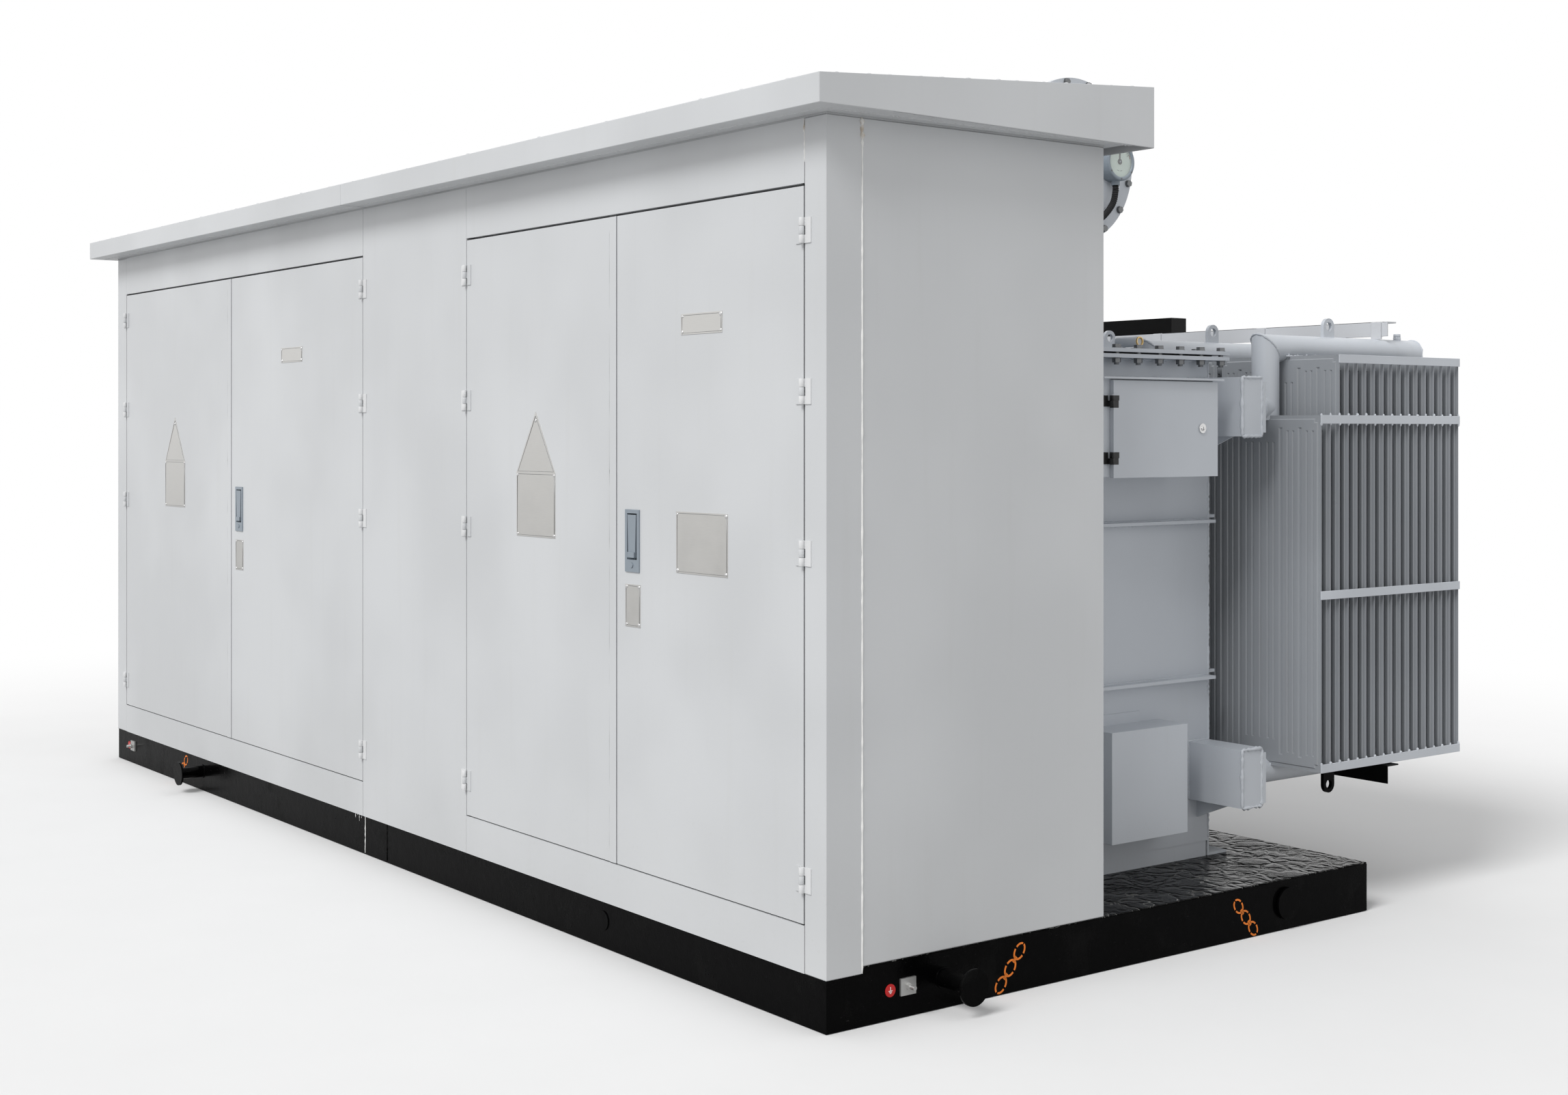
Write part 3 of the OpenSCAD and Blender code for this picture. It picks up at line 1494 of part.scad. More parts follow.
// Round tube along a list of points, as one closed solid
module tube_along(points, r, sides) {
    n = len(points);
    ends = [for (i = [0 : n - 1]) points[min(i + 1, n - 1)] - points[max(i - 1, 0)]];
    rings = [for (i = [0 : n - 1])
        let (t = ends[i] / norm(ends[i]), u0 = cross(t, [1, 0, 0]), u = u0 / norm(u0), v = cross(t, u))
        for (k = [0 : sides - 1]) points[i] + r * (cos(360 * k / sides) * u + sin(360 * k / sides) * v)];
    walls = [for (i = [0 : n - 2]) for (k = [0 : sides - 1])
        let (a = i * sides + k, b = i * sides + (k + 1) % sides)
        each [[a, b, b + sides], [a, b + sides, a + sides]]];
    first = [for (k = [sides - 1 : -1 : 0]) k];
    last = [for (k = [0 : sides - 1]) (n - 1) * sides + k];
    polyhedron(points = rings, faces = concat([first], walls, [last]));
}

module gauge_conduit() {
    color(rubber) tube_along(conduit_points, conduit_r, conduit_sides);
}

// ---------- control box ----------

ctrl_body = ctrl_d - ctrl_pan - 1;
ctrl_y0 = ctrl_y - ctrl_side;
ctrl_axis_x = ctrl_front + 2;
ctrl_axis_y = ctrl_y - 5;
ctrl_knuckle = 5;
ctrl_hinge_h = 36;
ctrl_rim = 18;
hood_over = 16;
hood_lip = 5;
hood_drop = 16;
gland_r = 17;
body_short = 4;
ctrl_leaf_t = 3;
ctrl_leaf_w = 17;
ctrl_leaf_far = 22;
ctrl_arm_y = 8;
ctrl_arm_t = 4;
ctrl_door_leaf = 26;
ctrl_pin_r = 2;
lock_head = 4;
lock_cam = [3, 50, 18];

module control_box() {
    y1 = ctrl_y + ctrl_w - body_short;
    z0 = ctrl_z + ctrl_leaf_t;
    wall = ctrl_wall;
    color(tank_paint) {
        difference() {
            box([tank_right, ctrl_y0, z0], [ctrl_body, y1 - ctrl_y0, ctrl_h - ctrl_leaf_t]);
            box([tank_right + wall, ctrl_y0 + wall, z0 + wall],
                [ctrl_body - 2 * wall, y1 - ctrl_y0 - 2 * wall, ctrl_h - ctrl_leaf_t - 2 * wall]);
            box([tank_right + ctrl_body - wall - 1, ctrl_y + ctrl_rim, z0 + ctrl_rim],
                [wall + 2, y1 - ctrl_y - 2 * ctrl_rim, ctrl_h - ctrl_leaf_t - 2 * ctrl_rim]);
        }
        translate([tank_right, ctrl_y0 - hood_over, ctrl_z + ctrl_h]) rotate([-90, 0, 0])
            linear_extrude(y1 - ctrl_y0 + 2 * hood_over)
                polygon([[0, eps], [ctrl_d + hood_over, eps],
                    [ctrl_d + hood_over, -hood_lip], [0, -hood_drop]]);
        rod_z([gland_x, gland_y, ctrl_z + ctrl_h + gland_t - body_short - 2], gland_r, body_short + 2);
    }
    color(black_paint) for (level = ctrl_hinges) {
        z = ctrl_z + ctrl_h * level - ctrl_hinge_h / 2;
        box([tank_right + ctrl_body - eps, ctrl_axis_y - ctrl_leaf_far, z],
            [ctrl_leaf_t, ctrl_leaf_w, ctrl_hinge_h]);
        box([tank_right + ctrl_body, ctrl_axis_y - ctrl_arm_y, z],
            [ctrl_pan + ctrl_leaf_t, ctrl_arm_t, ctrl_hinge_h / 2 - run_gap]);
        rod_z([ctrl_axis_x, ctrl_axis_y, z], ctrl_knuckle, ctrl_hinge_h / 2 - run_gap);
        rod_z([ctrl_axis_x, ctrl_axis_y, z], ctrl_pin_r, ctrl_hinge_h);
    }
}

module control_box_door() {
    x0 = ctrl_front - ctrl_pan;
    color(tank_paint) difference() {
        box([x0, ctrl_y, ctrl_z], [ctrl_pan, ctrl_w, ctrl_h - body_short]);
        box([x0 - 1, ctrl_y + ctrl_wall, ctrl_z + ctrl_wall],
            [ctrl_pan - ctrl_wall + 1, ctrl_w - 2 * ctrl_wall, ctrl_h - body_short - 2 * ctrl_wall]);
        rod_x([x0, lock_y, lock_z], lock_r + fit_gap, ctrl_pan + 1);
    }
    color(black_paint) for (level = ctrl_hinges) {
        z = ctrl_z + ctrl_h * level;
        difference() {
            union() {
                rod_z([ctrl_axis_x, ctrl_axis_y, z], ctrl_knuckle, ctrl_hinge_h / 2);
                box([ctrl_front - eps, ctrl_axis_y, z], [ctrl_leaf_t, ctrl_door_leaf, ctrl_hinge_h / 2]);
            }
            rod_z([ctrl_axis_x, ctrl_axis_y, z - 1], ctrl_pin_r + fit_gap, ctrl_hinge_h);
        }
    }
}

// Quarter-turn lock: barrel through the door, flange outside, cam inside the pan
module cam_lock() {
    color(zinc) {
        rod_x([ctrl_front - ctrl_pan + lock_head, lock_y, lock_z], lock_r, ctrl_pan);
        rod_x([ctrl_front + run_gap, lock_y, lock_z], lock_r + lock_head, lock_head);
        box([ctrl_front - ctrl_pan + lock_head, lock_y - lock_cam.z / 2, lock_z - lock_cam.z / 2], lock_cam);
    }
}

module cable_cover_box() {
    upstand = [5, cover_box_w - 90, 34];
    color(tank_paint) {
        difference() {
            box([tank_right, cbox_y, cbox_z], [cover_box_d, cover_box_w, cover_box_h]);
            box([tank_right - 1, cbox_y + ctrl_wall, cbox_z + ctrl_wall],
                [cover_box_d - ctrl_wall + 1, cover_box_w - 2 * ctrl_wall, cover_box_h - 2 * ctrl_wall]);
        }
        box([tank_right, cbox_y, cbox_z + cover_box_h - eps], upstand);
    }
}

// ---------- assembly ----------

skid_frame();
deck_plate();
lift_sleeves();
lift_pin_front();
lift_pin_rear();
lift_pin_right_front();
lift_pin_right_rear();
lift_pin_left_front();
lift_pin_left_rear();
earth_terminals();
corner_posts();
centre_panel();
door_rails();
end_panels();
rear_panel();
partition();
roof_panels();
rubber_seals();
hinge_frame_leaves();
door_lv_right();
door_lv_left();
door_hv_right();
door_hv_left();
plates_lv_right();
plates_lv_left();
plates_hv_right();
plates_hv_left();
handle_plate_lv();
handle_plate_hv();
handle_lever_lv();
handle_lever_hv();
lock_button_lv();
lock_button_hv();
lock_bar_lv();
lock_bar_hv();
tank();
tank_cover();
tank_bolts();
core();
windings();
hv_bushings();
lv_bushings();
lv_busbars();
lv_breaker();
breaker_knob();
load_switch();
switch_knob();
tap_changer();
tap_handwheel();
radiators();
radiator_braces();
conservator();
conservator_cover();
oil_gauge();
gauge_pointer();
gauge_conduit();
control_box();
control_box_door();
cam_lock();
cable_cover_box();
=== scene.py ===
# %% [markdown]
# # A skid-mounted transformer substation
# The frame brings every part of the substation in its place, in metres: +X to the right, +Y to the back, +Z
# up. First it is loaded. Nothing that is added later may grow past it.

# %% Load the frame
import math
import random

import bpy
from mathutils import Matrix, Vector


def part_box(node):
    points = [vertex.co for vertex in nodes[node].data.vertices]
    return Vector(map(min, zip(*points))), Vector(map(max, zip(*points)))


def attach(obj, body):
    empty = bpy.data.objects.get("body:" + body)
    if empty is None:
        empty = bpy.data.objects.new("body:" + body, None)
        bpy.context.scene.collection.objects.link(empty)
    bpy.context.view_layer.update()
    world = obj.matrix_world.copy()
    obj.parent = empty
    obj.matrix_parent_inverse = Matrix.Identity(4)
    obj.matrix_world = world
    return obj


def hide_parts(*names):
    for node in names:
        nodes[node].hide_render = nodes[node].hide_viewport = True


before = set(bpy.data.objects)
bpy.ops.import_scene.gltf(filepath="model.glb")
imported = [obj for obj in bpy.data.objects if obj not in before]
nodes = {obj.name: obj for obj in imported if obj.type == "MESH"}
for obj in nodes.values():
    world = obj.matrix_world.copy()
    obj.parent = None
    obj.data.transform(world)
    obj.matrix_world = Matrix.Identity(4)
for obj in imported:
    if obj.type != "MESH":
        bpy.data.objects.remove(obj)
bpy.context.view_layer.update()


# %% [markdown]
# ## Camera
# The substation is seen from the front right corner, from a little above its door handles, with upright
# lines kept upright. So the camera stands level, and a small shift brings the object to the middle.

# %% Camera
EYE = (6.676, -4.213, 1.529)
HEADING = 53.15
SENSOR = 36
LENS = 45.74
SHIFT = -0.0737
FAR = 200


def linked(name, data):
    """A new object in the scene that shows this data."""
    obj = bpy.data.objects.new(name, data)
    bpy.context.scene.collection.objects.link(obj)
    return obj


camera_data = bpy.data.cameras.new("camera")
camera = linked("camera", camera_data)
camera.location = EYE
camera.rotation_euler = (math.radians(90), 0, math.radians(HEADING))
camera_data.sensor_width = SENSOR
camera_data.lens = LENS
camera_data.shift_y = SHIFT
camera_data.clip_end = FAR
bpy.context.scene.camera = camera
print("camera at", tuple(camera.location))


# %% [markdown]
# ## Shader sums
# A material is easier to read as a sum than as a web of nodes. This small class holds one output of a shader
# node. An expression on it adds the Math nodes, and `node` adds any other node.

# %% A socket that can be used in sums
class Wire:
    """One output of a shader node, used like a number."""

    def __init__(self, tree, socket=None):
        self.tree = tree
        self.socket = socket

    def node(self, kind, settings=None, values=None, output=0):
        made = self.tree.nodes.new(kind)
        for name, value in (settings or {}).items():
            if name == "stops":
                ramp = made.color_ramp
                while len(ramp.elements) < len(value):
                    ramp.elements.new(0.5)
                for element, (position, colour) in zip(ramp.elements, value):
                    element.position = position
                    element.color = colour
            else:
                setattr(made, name, value)
        for name, value in (values or {}).items():
            if isinstance(value, Wire):
                self.tree.links.new(value.socket, made.inputs[name])
            else:
                made.inputs[name].default_value = value
        return Wire(self.tree, made.outputs[output])

    def math(self, operation, *values, clamp=False):
        settings = {"operation": operation, "use_clamp": clamp}
        return self.node("ShaderNodeMath", settings, dict(enumerate(values)))

    def __add__(self, other):
        return self.math("ADD", self, other)

    def __sub__(self, other):
        return self.math("SUBTRACT", self, other)

    def __rsub__(self, other):
        return self.math("SUBTRACT", other, self)

    def __mul__(self, other):
        return self.math("MULTIPLY", self, other)

    __radd__ = __add__
    __rmul__ = __mul__

    def step(self, low, high):
        """0 below low and 1 above high, with a smooth ramp between them."""
        settings = {"interpolation_type": "SMOOTHSTEP"}
        values = {"Value": self, "From Min": low, "From Max": high}
        return self.node("ShaderNodeMapRange", settings, values)

    def mix(self, first, second):
        """The first colour where this is 0, and the second where it is 1."""
        made = self.node("ShaderNodeMix", {"data_type": "RGBA"}).socket.node
        self.tree.links.new(self.socket, made.inputs[0])
        for place, value in ((6, first), (7, second)):
            if isinstance(value, Wire):
                self.tree.links.new(value.socket, made.inputs[place])
            else:
                made.inputs[place].default_value = (*value[:3], 1)
        return Wire(self.tree, made.outputs[2])


# %% [markdown]
# A finish starts from three things: the place on the object, noises at the size of what they stand for, and
# the one Principled shader. `Finish` opens a material with them, so that each recipe below only says what
# differs.

# %% The start of every finish
class Finish:
    """A new material with its Principled shader and patterns in object metres."""

    def __init__(self, name, **constants):
        self.material = bpy.data.materials.new(name)
        self.material.use_nodes = True
        self.tree = self.material.node_tree
        self.shader = self.tree.nodes["Principled BSDF"]
        self.start = Wire(self.tree)
        self.place = Wire(self.tree, self.tree.nodes.new("ShaderNodeTexCoord").outputs["Object"])
        for socket, value in constants.items():
            self.shader.inputs[socket.replace("_", " ")].default_value = value

    def stretched(self, scale):
        return self.start.node("ShaderNodeMapping", None, {"Vector": self.place, "Scale": scale})

    def noise(self, size, detail=3.0, rough=0.5, stretch=None):
        """Noise whose blotches are about size metres across."""
        place = self.stretched(stretch) if stretch else self.place
        values = {"Vector": place, "Scale": 1 / size, "Detail": detail, "Roughness": rough}
        return self.start.node("ShaderNodeTexNoise", None, values)

    def cells(self, size):
        return self.start.node("ShaderNodeTexVoronoi", None, {"Vector": self.place, "Scale": 1 / size})

    def axis(self, letter):
        made = self.start.node("ShaderNodeSeparateXYZ", None, {0: self.place}).socket.node
        return Wire(self.tree, made.outputs["XYZ".index(letter)])

    def shade(self, colour=None, rough=None, metal=None, coat=None, height=None, depth=0.001, strength=1.0):
        """Sends what was worked out to the shader. height is bumped by depth metres."""
        wires = {"Base Color": colour, "Roughness": rough, "Metallic": metal, "Coat Weight": coat}
        for name, wire in wires.items():
            if isinstance(wire, Wire):
                self.tree.links.new(wire.socket, self.shader.inputs[name])
            elif wire is not None:
                self.shader.inputs[name].default_value = wire
        if height is not None:
            values = {"Height": height, "Distance": depth, "Strength": strength}
            bump = self.start.node("ShaderNodeBump", None, values)
            self.tree.links.new(bump.socket, self.shader.inputs["Normal"])
        return self.material


# %% [markdown]
# ## Sprayed steel
# The enclosure, the tank and the radiators are sprayed steel. Close up, the coat has the fine dimples of
# orange peel. From further off, it drifts a little in tone, carries dust low down and shows faint runs where
# rain went. One recipe makes all of them, with their own colour, gloss and grain. The radiator fins take a
# darker copy of the tank paint that their pipes carry, as painted shade between the fins, and the hinges a
# lighter copy of the enclosure paint, as a painted highlight.

# %% Sprayed paint
def sprayed(name, colour, rough, peel=0.0016, dirt=0.12, runs=0.05, drift=0.05):
    paint = Finish(name, Specular_IOR_Level=0.45)
    broad = paint.noise(0.7, 2.0).step(0.3, 0.7)
    streak = paint.noise(0.05, 3.0, 0.6, stretch=(1, 1, 0.06)).step(0.52, 0.78)
    speck = paint.noise(0.012, 2.0, 0.6).step(0.62, 0.8)
    low = 1 - paint.axis("Z").step(0.15, 0.75)
    lighter = tuple(min(1.0, c * (1 + drift)) for c in colour)
    darker = tuple(c * (1 - drift) for c in colour)
    dust = (colour[0] * 0.62 + 0.06, colour[1] * 0.6 + 0.05, colour[2] * 0.55 + 0.035)
    tone = broad.mix(darker, lighter)
    tone = (streak * runs).mix(tone, dust)
    tone = (low * speck * dirt + low * dirt * 0.5).mix(tone, dust)
    gloss = rough + 0.1 * (paint.noise(0.09, 3.0) - 0.5) + 0.12 * low
    height = paint.noise(peel, 1.5, 0.4) + 0.6 * paint.noise(peel * 5, 1.0)
    return paint.shade(tone, gloss, height=height, depth=0.00022, strength=0.55)


enclosure_paint = sprayed("enclosure_paint", (0.592, 0.605, 0.618), 0.38)
tank_paint = sprayed("tank_paint", (0.545, 0.575, 0.617), 0.38, dirt=0.2, runs=0.1, drift=0.07)
# Painted shade: the fins take this darker copy of the tank paint, which their pipes and bars carry, for the
# shade between the fins.
fin_paint_with_painted_shade = sprayed("fin_paint_with_painted_shade", (0.305, 0.322, 0.345), 0.30, dirt=0.15, runs=0.12, drift=0.08)
# Painted highlight: the hinges take a lighter copy of the enclosure paint, for the light their leaves catch.
hinge_painted_highlight = sprayed("hinge_painted_highlight", (0.70, 0.706, 0.712), 0.34, dirt=0.0, runs=0.0)
handle_paint = sprayed("handle_paint", (0.245, 0.285, 0.325), 0.34, peel=0.0009, dirt=0.0, runs=0.03)
case_paint = sprayed("breaker_case", (0.045, 0.052, 0.06), 0.5, peel=0.001, dirt=0.0, runs=0.03)
switch_paint = sprayed("switch_case", (0.11, 0.12, 0.135), 0.5, peel=0.001, dirt=0.0, runs=0.03)
knob_paint = sprayed("knob_red", (0.42, 0.014, 0.01), 0.38, peel=0.0012, dirt=0.0, runs=0.0)
print("sprayed finishes made")


# %% [markdown]
# ## Black skid paint
# The skid has a thick glossy black coat, brushed on. It is dusty and scuffed where chains and forks touched
# it. On the deck it pooled and wrinkled as it dried, with hair cracks where dry white dust has settled.

# %% Black paints
def black_coat(name, wrinkles):
    coat = Finish(name, Specular_IOR_Level=0.10 if wrinkles else 0.05)
    dusty = coat.noise(0.16, 5.0, 0.62).step(0.5, 0.78)
    scuff = coat.noise(0.02, 4.0, 0.7, stretch=(1, 1, 3)).step(0.66, 0.76)
    tone = (0.5 * dusty).mix((0.0012, 0.0012, 0.0013), (0.006, 0.006, 0.0058))
    tone = (0.18 * scuff).mix(tone, (0.12, 0.115, 0.11))
    gloss = 0.2 + 0.3 * dusty + 0.25 * scuff
    height = coat.noise(0.03, 3.0) + 0.5 * coat.noise(0.006, 3.0)
    if not wrinkles:
        return coat.shade(tone, gloss, height=height, depth=0.0012, strength=0.6)
    bent = coat.start.node(
        "ShaderNodeVectorMath",
        {"operation": "MULTIPLY_ADD"},
        {0: coat.start.node("ShaderNodeTexNoise", None, {"Vector": coat.place, "Scale": 9.0}, output=1),
         1: (0.22, 0.22, 0.22), 2: coat.place},
    )
    ridge = coat.start.node(
        "ShaderNodeTexVoronoi", {"feature": "DISTANCE_TO_EDGE"}, {"Vector": bent, "Scale": 11.0}
    )
    crack = 1 - ridge.step(0.004, 0.02)
    worn = coat.noise(0.3, 3.0).step(0.45, 0.6)
    tone = (0.75 * crack * worn).mix(tone, (0.24, 0.24, 0.23))
    puddle = ridge.step(0.0, 0.22)
    height = height * 0.6 + 2.2 * puddle + coat.noise(0.014, 4.0, 0.65)
    return coat.shade(tone, gloss * 0.8 + 0.35 * crack, height=height, depth=0.004, strength=0.8)


skid_paint = black_coat("black_paint", wrinkles=False)
deck_paint = black_coat("deck_paint", wrinkles=True)
print("black coats made")


# %% [markdown]
# ## Bare metals
# The lock bars are zinc with a mottled spangle. The plates on the doors are brushed sheet, so their
# scratches run one way. The core is laminated steel, the windings and busbars are copper that has browned.

# %% Metals
def spangled_zinc():
    zinc = Finish("zinc", Specular_IOR_Level=0.5)
    spangle = zinc.cells(0.006)
    fog = zinc.noise(0.02, 4.0)
    tone = spangle.mix((0.30, 0.31, 0.32), (0.46, 0.46, 0.455))
    tone = (fog.step(0.6, 0.8) * 0.5).mix(tone, (0.32, 0.31, 0.29))
    return zinc.shade(tone, 0.32 + 0.25 * fog, metal=0.85, height=spangle + fog, depth=0.0003, strength=0.4)


def brushed(name, colour, along, rough=0.3):
    """Sheet whose scratches run along one letter axis."""
    sheet = Finish(name)
    stretch = tuple(0.02 if letter == along else 1.0 for letter in "XYZ")
    hair = sheet.noise(0.0009, 4.0, 0.6, stretch=stretch)
    smear = sheet.noise(0.06, 4.0)
    dull = tuple(c * 0.8 for c in colour)
    tone = (hair * 0.6 + smear * 0.4).mix(dull, colour)
    return sheet.shade(tone, rough + 0.22 * smear, metal=1.0, height=hair, depth=0.0001, strength=0.35)


def browned_copper():
    copper = Finish("copper")
    stain = copper.noise(0.05, 5.0, 0.6).step(0.35, 0.75)
    wound = copper.noise(0.004, 2.0, stretch=(0.05, 0.05, 1))
    tone = (0.7 * stain).mix((0.72, 0.33, 0.17), (0.30, 0.12, 0.06))
    return copper.shade(tone, 0.3 + 0.25 * stain, metal=1.0, height=wound, depth=0.0006, strength=0.6)


def laminated_steel():
    steel = Finish("core_steel")
    sheets = steel.noise(0.0025, 1.0, stretch=(0.02, 1, 0.02))
    rust = steel.noise(0.08, 5.0, 0.65).step(0.55, 0.8)
    tone = (0.6 * sheets).mix((0.20, 0.21, 0.22), (0.34, 0.35, 0.36))
    tone = (0.5 * rust).mix(tone, (0.17, 0.09, 0.05))
    return steel.shade(tone, 0.42 + 0.3 * rust, metal=0.8, height=sheets, depth=0.0005, strength=0.7)


zinc = spangled_zinc()
plate_metal = brushed("plate_aluminium", (0.72, 0.712, 0.69), "X", rough=0.24)
chrome = brushed("chrome_lock", (0.8, 0.8, 0.8), "Z", rough=0.12)
copper = browned_copper()
core_steel = laminated_steel()
print("metals made")


# %% [markdown]
# ## Glaze and rubber
# The bushings are glazed porcelain, brown as on most outdoor ones. The seals are black rubber with a dusty
# skin.

# %% Porcelain and rubber
def glazed():
    glaze = Finish("porcelain", Specular_IOR_Level=0.6)
    pool = glaze.noise(0.03, 3.0)
    tone = pool.mix((0.15, 0.045, 0.022), (0.26, 0.085, 0.04))
    fleck = glaze.noise(0.004, 2.0).step(0.68, 0.74)
    tone = (0.5 * fleck).mix(tone, (0.05, 0.02, 0.012))
    return glaze.shade(tone, 0.12 + 0.1 * pool, coat=0.5, height=pool, depth=0.001, strength=0.3)


def dusty_rubber():
    skin = Finish("rubber", Specular_IOR_Level=0.35)
    dust = skin.noise(0.02, 5.0, 0.65)
    tone = (dust.step(0.5, 0.9) * 0.4).mix((0.012, 0.012, 0.013), (0.075, 0.073, 0.07))
    return skin.shade(tone, 0.6 + 0.25 * dust, height=skin.noise(0.0015, 3.0), depth=0.0003, strength=0.5)


porcelain = glazed()
rubber = dusty_rubber()
print("glaze and rubber made")


# %% [markdown]
# ## Finishes that change on one CAD part
# Some parts came as one piece and have two finishes on the real object: the bracing angles over the
# radiators are white and the beams are black, the hinges of the control box are black, the disc beside an
# earth bolt is red. The change is written as a mask on the place, and the two coats are mixed on it.

# %% Two coats on one part
def two_coats(name, first, second, mask_of, rough=(0.4, 0.35), metal=(0.0, 0.0), specular=0.45):
    both = Finish(name, Specular_IOR_Level=specular)
    mask = mask_of(both)
    drift = both.noise(0.3, 3.0)
    fine = both.noise(0.0016, 2.0)
    tone_a = drift.mix(tuple(c * 0.93 for c in first), tuple(min(1, c * 1.05) for c in first))
    tone_b = drift.mix(tuple(c * 0.75 for c in second), tuple(min(1, c * 1.3) for c in second))
    gloss = rough[0] + mask * (rough[1] - rough[0]) + 0.12 * (drift - 0.5)
    shine = metal[0] + mask * (metal[1] - metal[0]) if metal[0] != metal[1] else metal[0]
    return both.shade(mask.mix(tone_a, tone_b), gloss, metal=shine, height=fine, depth=0.0002, strength=0.5)


def within(finish, low, high):
    """1 inside a box in object metres, 0 outside it."""
    mask = None
    for letter, a, b in zip("XYZ", low, high):
        place = finish.axis(letter)
        inside = place.math("GREATER_THAN", place, a) * place.math("LESS_THAN", place, b)
        mask = inside if mask is None else mask * inside
    return mask


brace_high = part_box("radiator_braces")[1]
BEAM_DEPTH = 0.12
LOW_ANGLE_Z = 0.6
EAVE_Z = 2.33


def black_beams(finish):
    low_angle = finish.axis("Z").math("LESS_THAN", finish.axis("Z"), LOW_ANGLE_Z)
    beam = finish.axis("Y").math("GREATER_THAN", finish.axis("Y"), brace_high.y - BEAM_DEPTH)
    return low_angle.math("MAXIMUM", low_angle, beam)


box_low, box_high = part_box("control_box")
BOX_Z = 1.392
BOX_H = 0.291
BOX_HINGES = (0.2, 0.78)
HINGE_HALF = 0.0185
HINGE_Y = 0.107


def box_hinges(finish):
    mask = None
    for share in BOX_HINGES:
        z = BOX_Z + share * BOX_H
        low = (box_high.x - 0.032, box_low.y - 0.01, z - HINGE_HALF)
        high = (box_high.x + 0.03, HINGE_Y + 0.0265, z + HINGE_HALF)
        there = within(finish, low, high)
        mask = there if mask is None else mask.math("MAXIMUM", mask, there)
    return mask


def under_eave(finish):
    return finish.axis("Z").math("GREATER_THAN", finish.axis("Z"), EAVE_Z)


SIDE_DISC_Y = -0.886
FRONT_DISC_X = -2.55
DISC_REACH = 0.02


def marker_discs(finish):
    side = within(finish, (2.6, SIDE_DISC_Y - DISC_REACH, 0.0), (2.9, SIDE_DISC_Y + DISC_REACH, 0.2))
    front = within(finish, (FRONT_DISC_X - DISC_REACH, -1.3, 0.0), (FRONT_DISC_X + DISC_REACH, -1.0, 0.2))
    return side.math("MAXIMUM", side, front)


seal_finish = two_coats("seals", (0.010, 0.010, 0.010), (0.42, 0.43, 0.44), under_eave, (0.7, 0.6))
box_finish = two_coats("control_box_paint", (0.545, 0.575, 0.617), (0.012, 0.012, 0.012), box_hinges)
brace_finish = two_coats(
    "brace_paint", (0.66, 0.675, 0.70), (0.003, 0.003, 0.003), black_beams, specular=0.15
)
earth_finish = two_coats(
    "earth_pad", (0.55, 0.55, 0.54), (0.5, 0.012, 0.012), marker_discs, (0.35, 0.4), (0.85, 0.0)
)
print("control box between", tuple(box_low), tuple(box_high))


# %% [markdown]
# ## Finishes on the frame
# Every part of the frame that stays visible gets its finish in its own material slot.

# %% Paint the frame
DOORS = "door_lv_right door_lv_left door_hv_right door_hv_left"
HANDLES = (
    "handle_plate_lv handle_plate_hv handle_lever_lv handle_lever_hv lock_button_lv lock_button_hv"
)
PINS = " ".join(
    f"lift_pin_{place}" for place in ("front", "rear", "right_front", "right_rear", "left_front", "left_rear")
)
BY_NODE = {
    enclosure_paint: "corner_posts centre_panel door_rails end_panels rear_panel partition roof_panels "
    + DOORS,
    hinge_painted_highlight: "hinge_frame_leaves",
    tank_paint: "tank tank_cover tap_changer conservator conservator_cover cable_cover_box",
    box_finish: "control_box control_box_door",
    fin_paint_with_painted_shade: "radiators",
    brace_finish: "radiator_braces",
    skid_paint: "skid_frame lift_sleeves gauge_pointer " + PINS,
    deck_paint: "deck_plate",
    earth_finish: "earth_terminals",
    zinc: "lock_bar_lv lock_bar_hv tank_bolts",
    plate_metal: "plates_lv_right plates_lv_left plates_hv_right plates_hv_left",
    chrome: "cam_lock",
    copper: "windings lv_busbars",
    core_steel: "core",
    porcelain: "hv_bushings lv_bushings",
    seal_finish: "rubber_seals",
    rubber: "gauge_conduit",
    handle_paint: "oil_gauge " + HANDLES,
    case_paint: "lv_breaker",
    switch_paint: "load_switch",
    knob_paint: "breaker_knob switch_knob tap_handwheel",
}
painted = set()
for material, names in BY_NODE.items():
    for name in names.split():
        mesh = nodes[name].data
        mesh.materials.clear()
        mesh.materials.append(material)
        painted.add(name)
print("painted", len(painted), "of", len(nodes), "left", sorted(set(nodes) - painted))


# %% [markdown]
# ## Modelling by hand, in code
# The pieces below are made as a person would make them: a primitive at its size, shaped in edit mode, and
# finished with modifiers. These helpers only save the selecting and the tidying that every one of them
# needs.

# %% Helpers for modelling
def clear():
    bpy.ops.object.select_all(action="DESELECT")


def only(obj):
    clear()
    obj.select_set(True)
    bpy.context.view_layer.objects.active = obj


def settle(obj, name=None):
    """Puts the place, turn and size of an object into its mesh."""
    only(obj)
    bpy.ops.object.transform_apply(location=True, rotation=True, scale=True)
    if name:
        obj.name = name
        obj.data.name = name
    return obj


def block(name, low, high):
    low, high = Vector(low), Vector(high)
    clear()
    bpy.ops.mesh.primitive_cube_add(size=1, location=(low + high) / 2)
    obj = bpy.context.object
    obj.scale = high - low
    return settle(obj, name)


TURNS = {"X": (0, math.pi / 2, 0), "Y": (-math.pi / 2, 0, 0), "Z": (0, 0, 0)}


def bar(name, start, length, radius, axis, sides=32):
    """Round bar from start along an axis letter."""
    middle = Vector(start)
    middle["XYZ".index(axis)] += length / 2
    clear()
    bpy.ops.mesh.primitive_cylinder_add(
        vertices=sides, radius=radius, depth=abs(length), location=middle, rotation=TURNS[axis]
    )
    return settle(bpy.context.object, name)


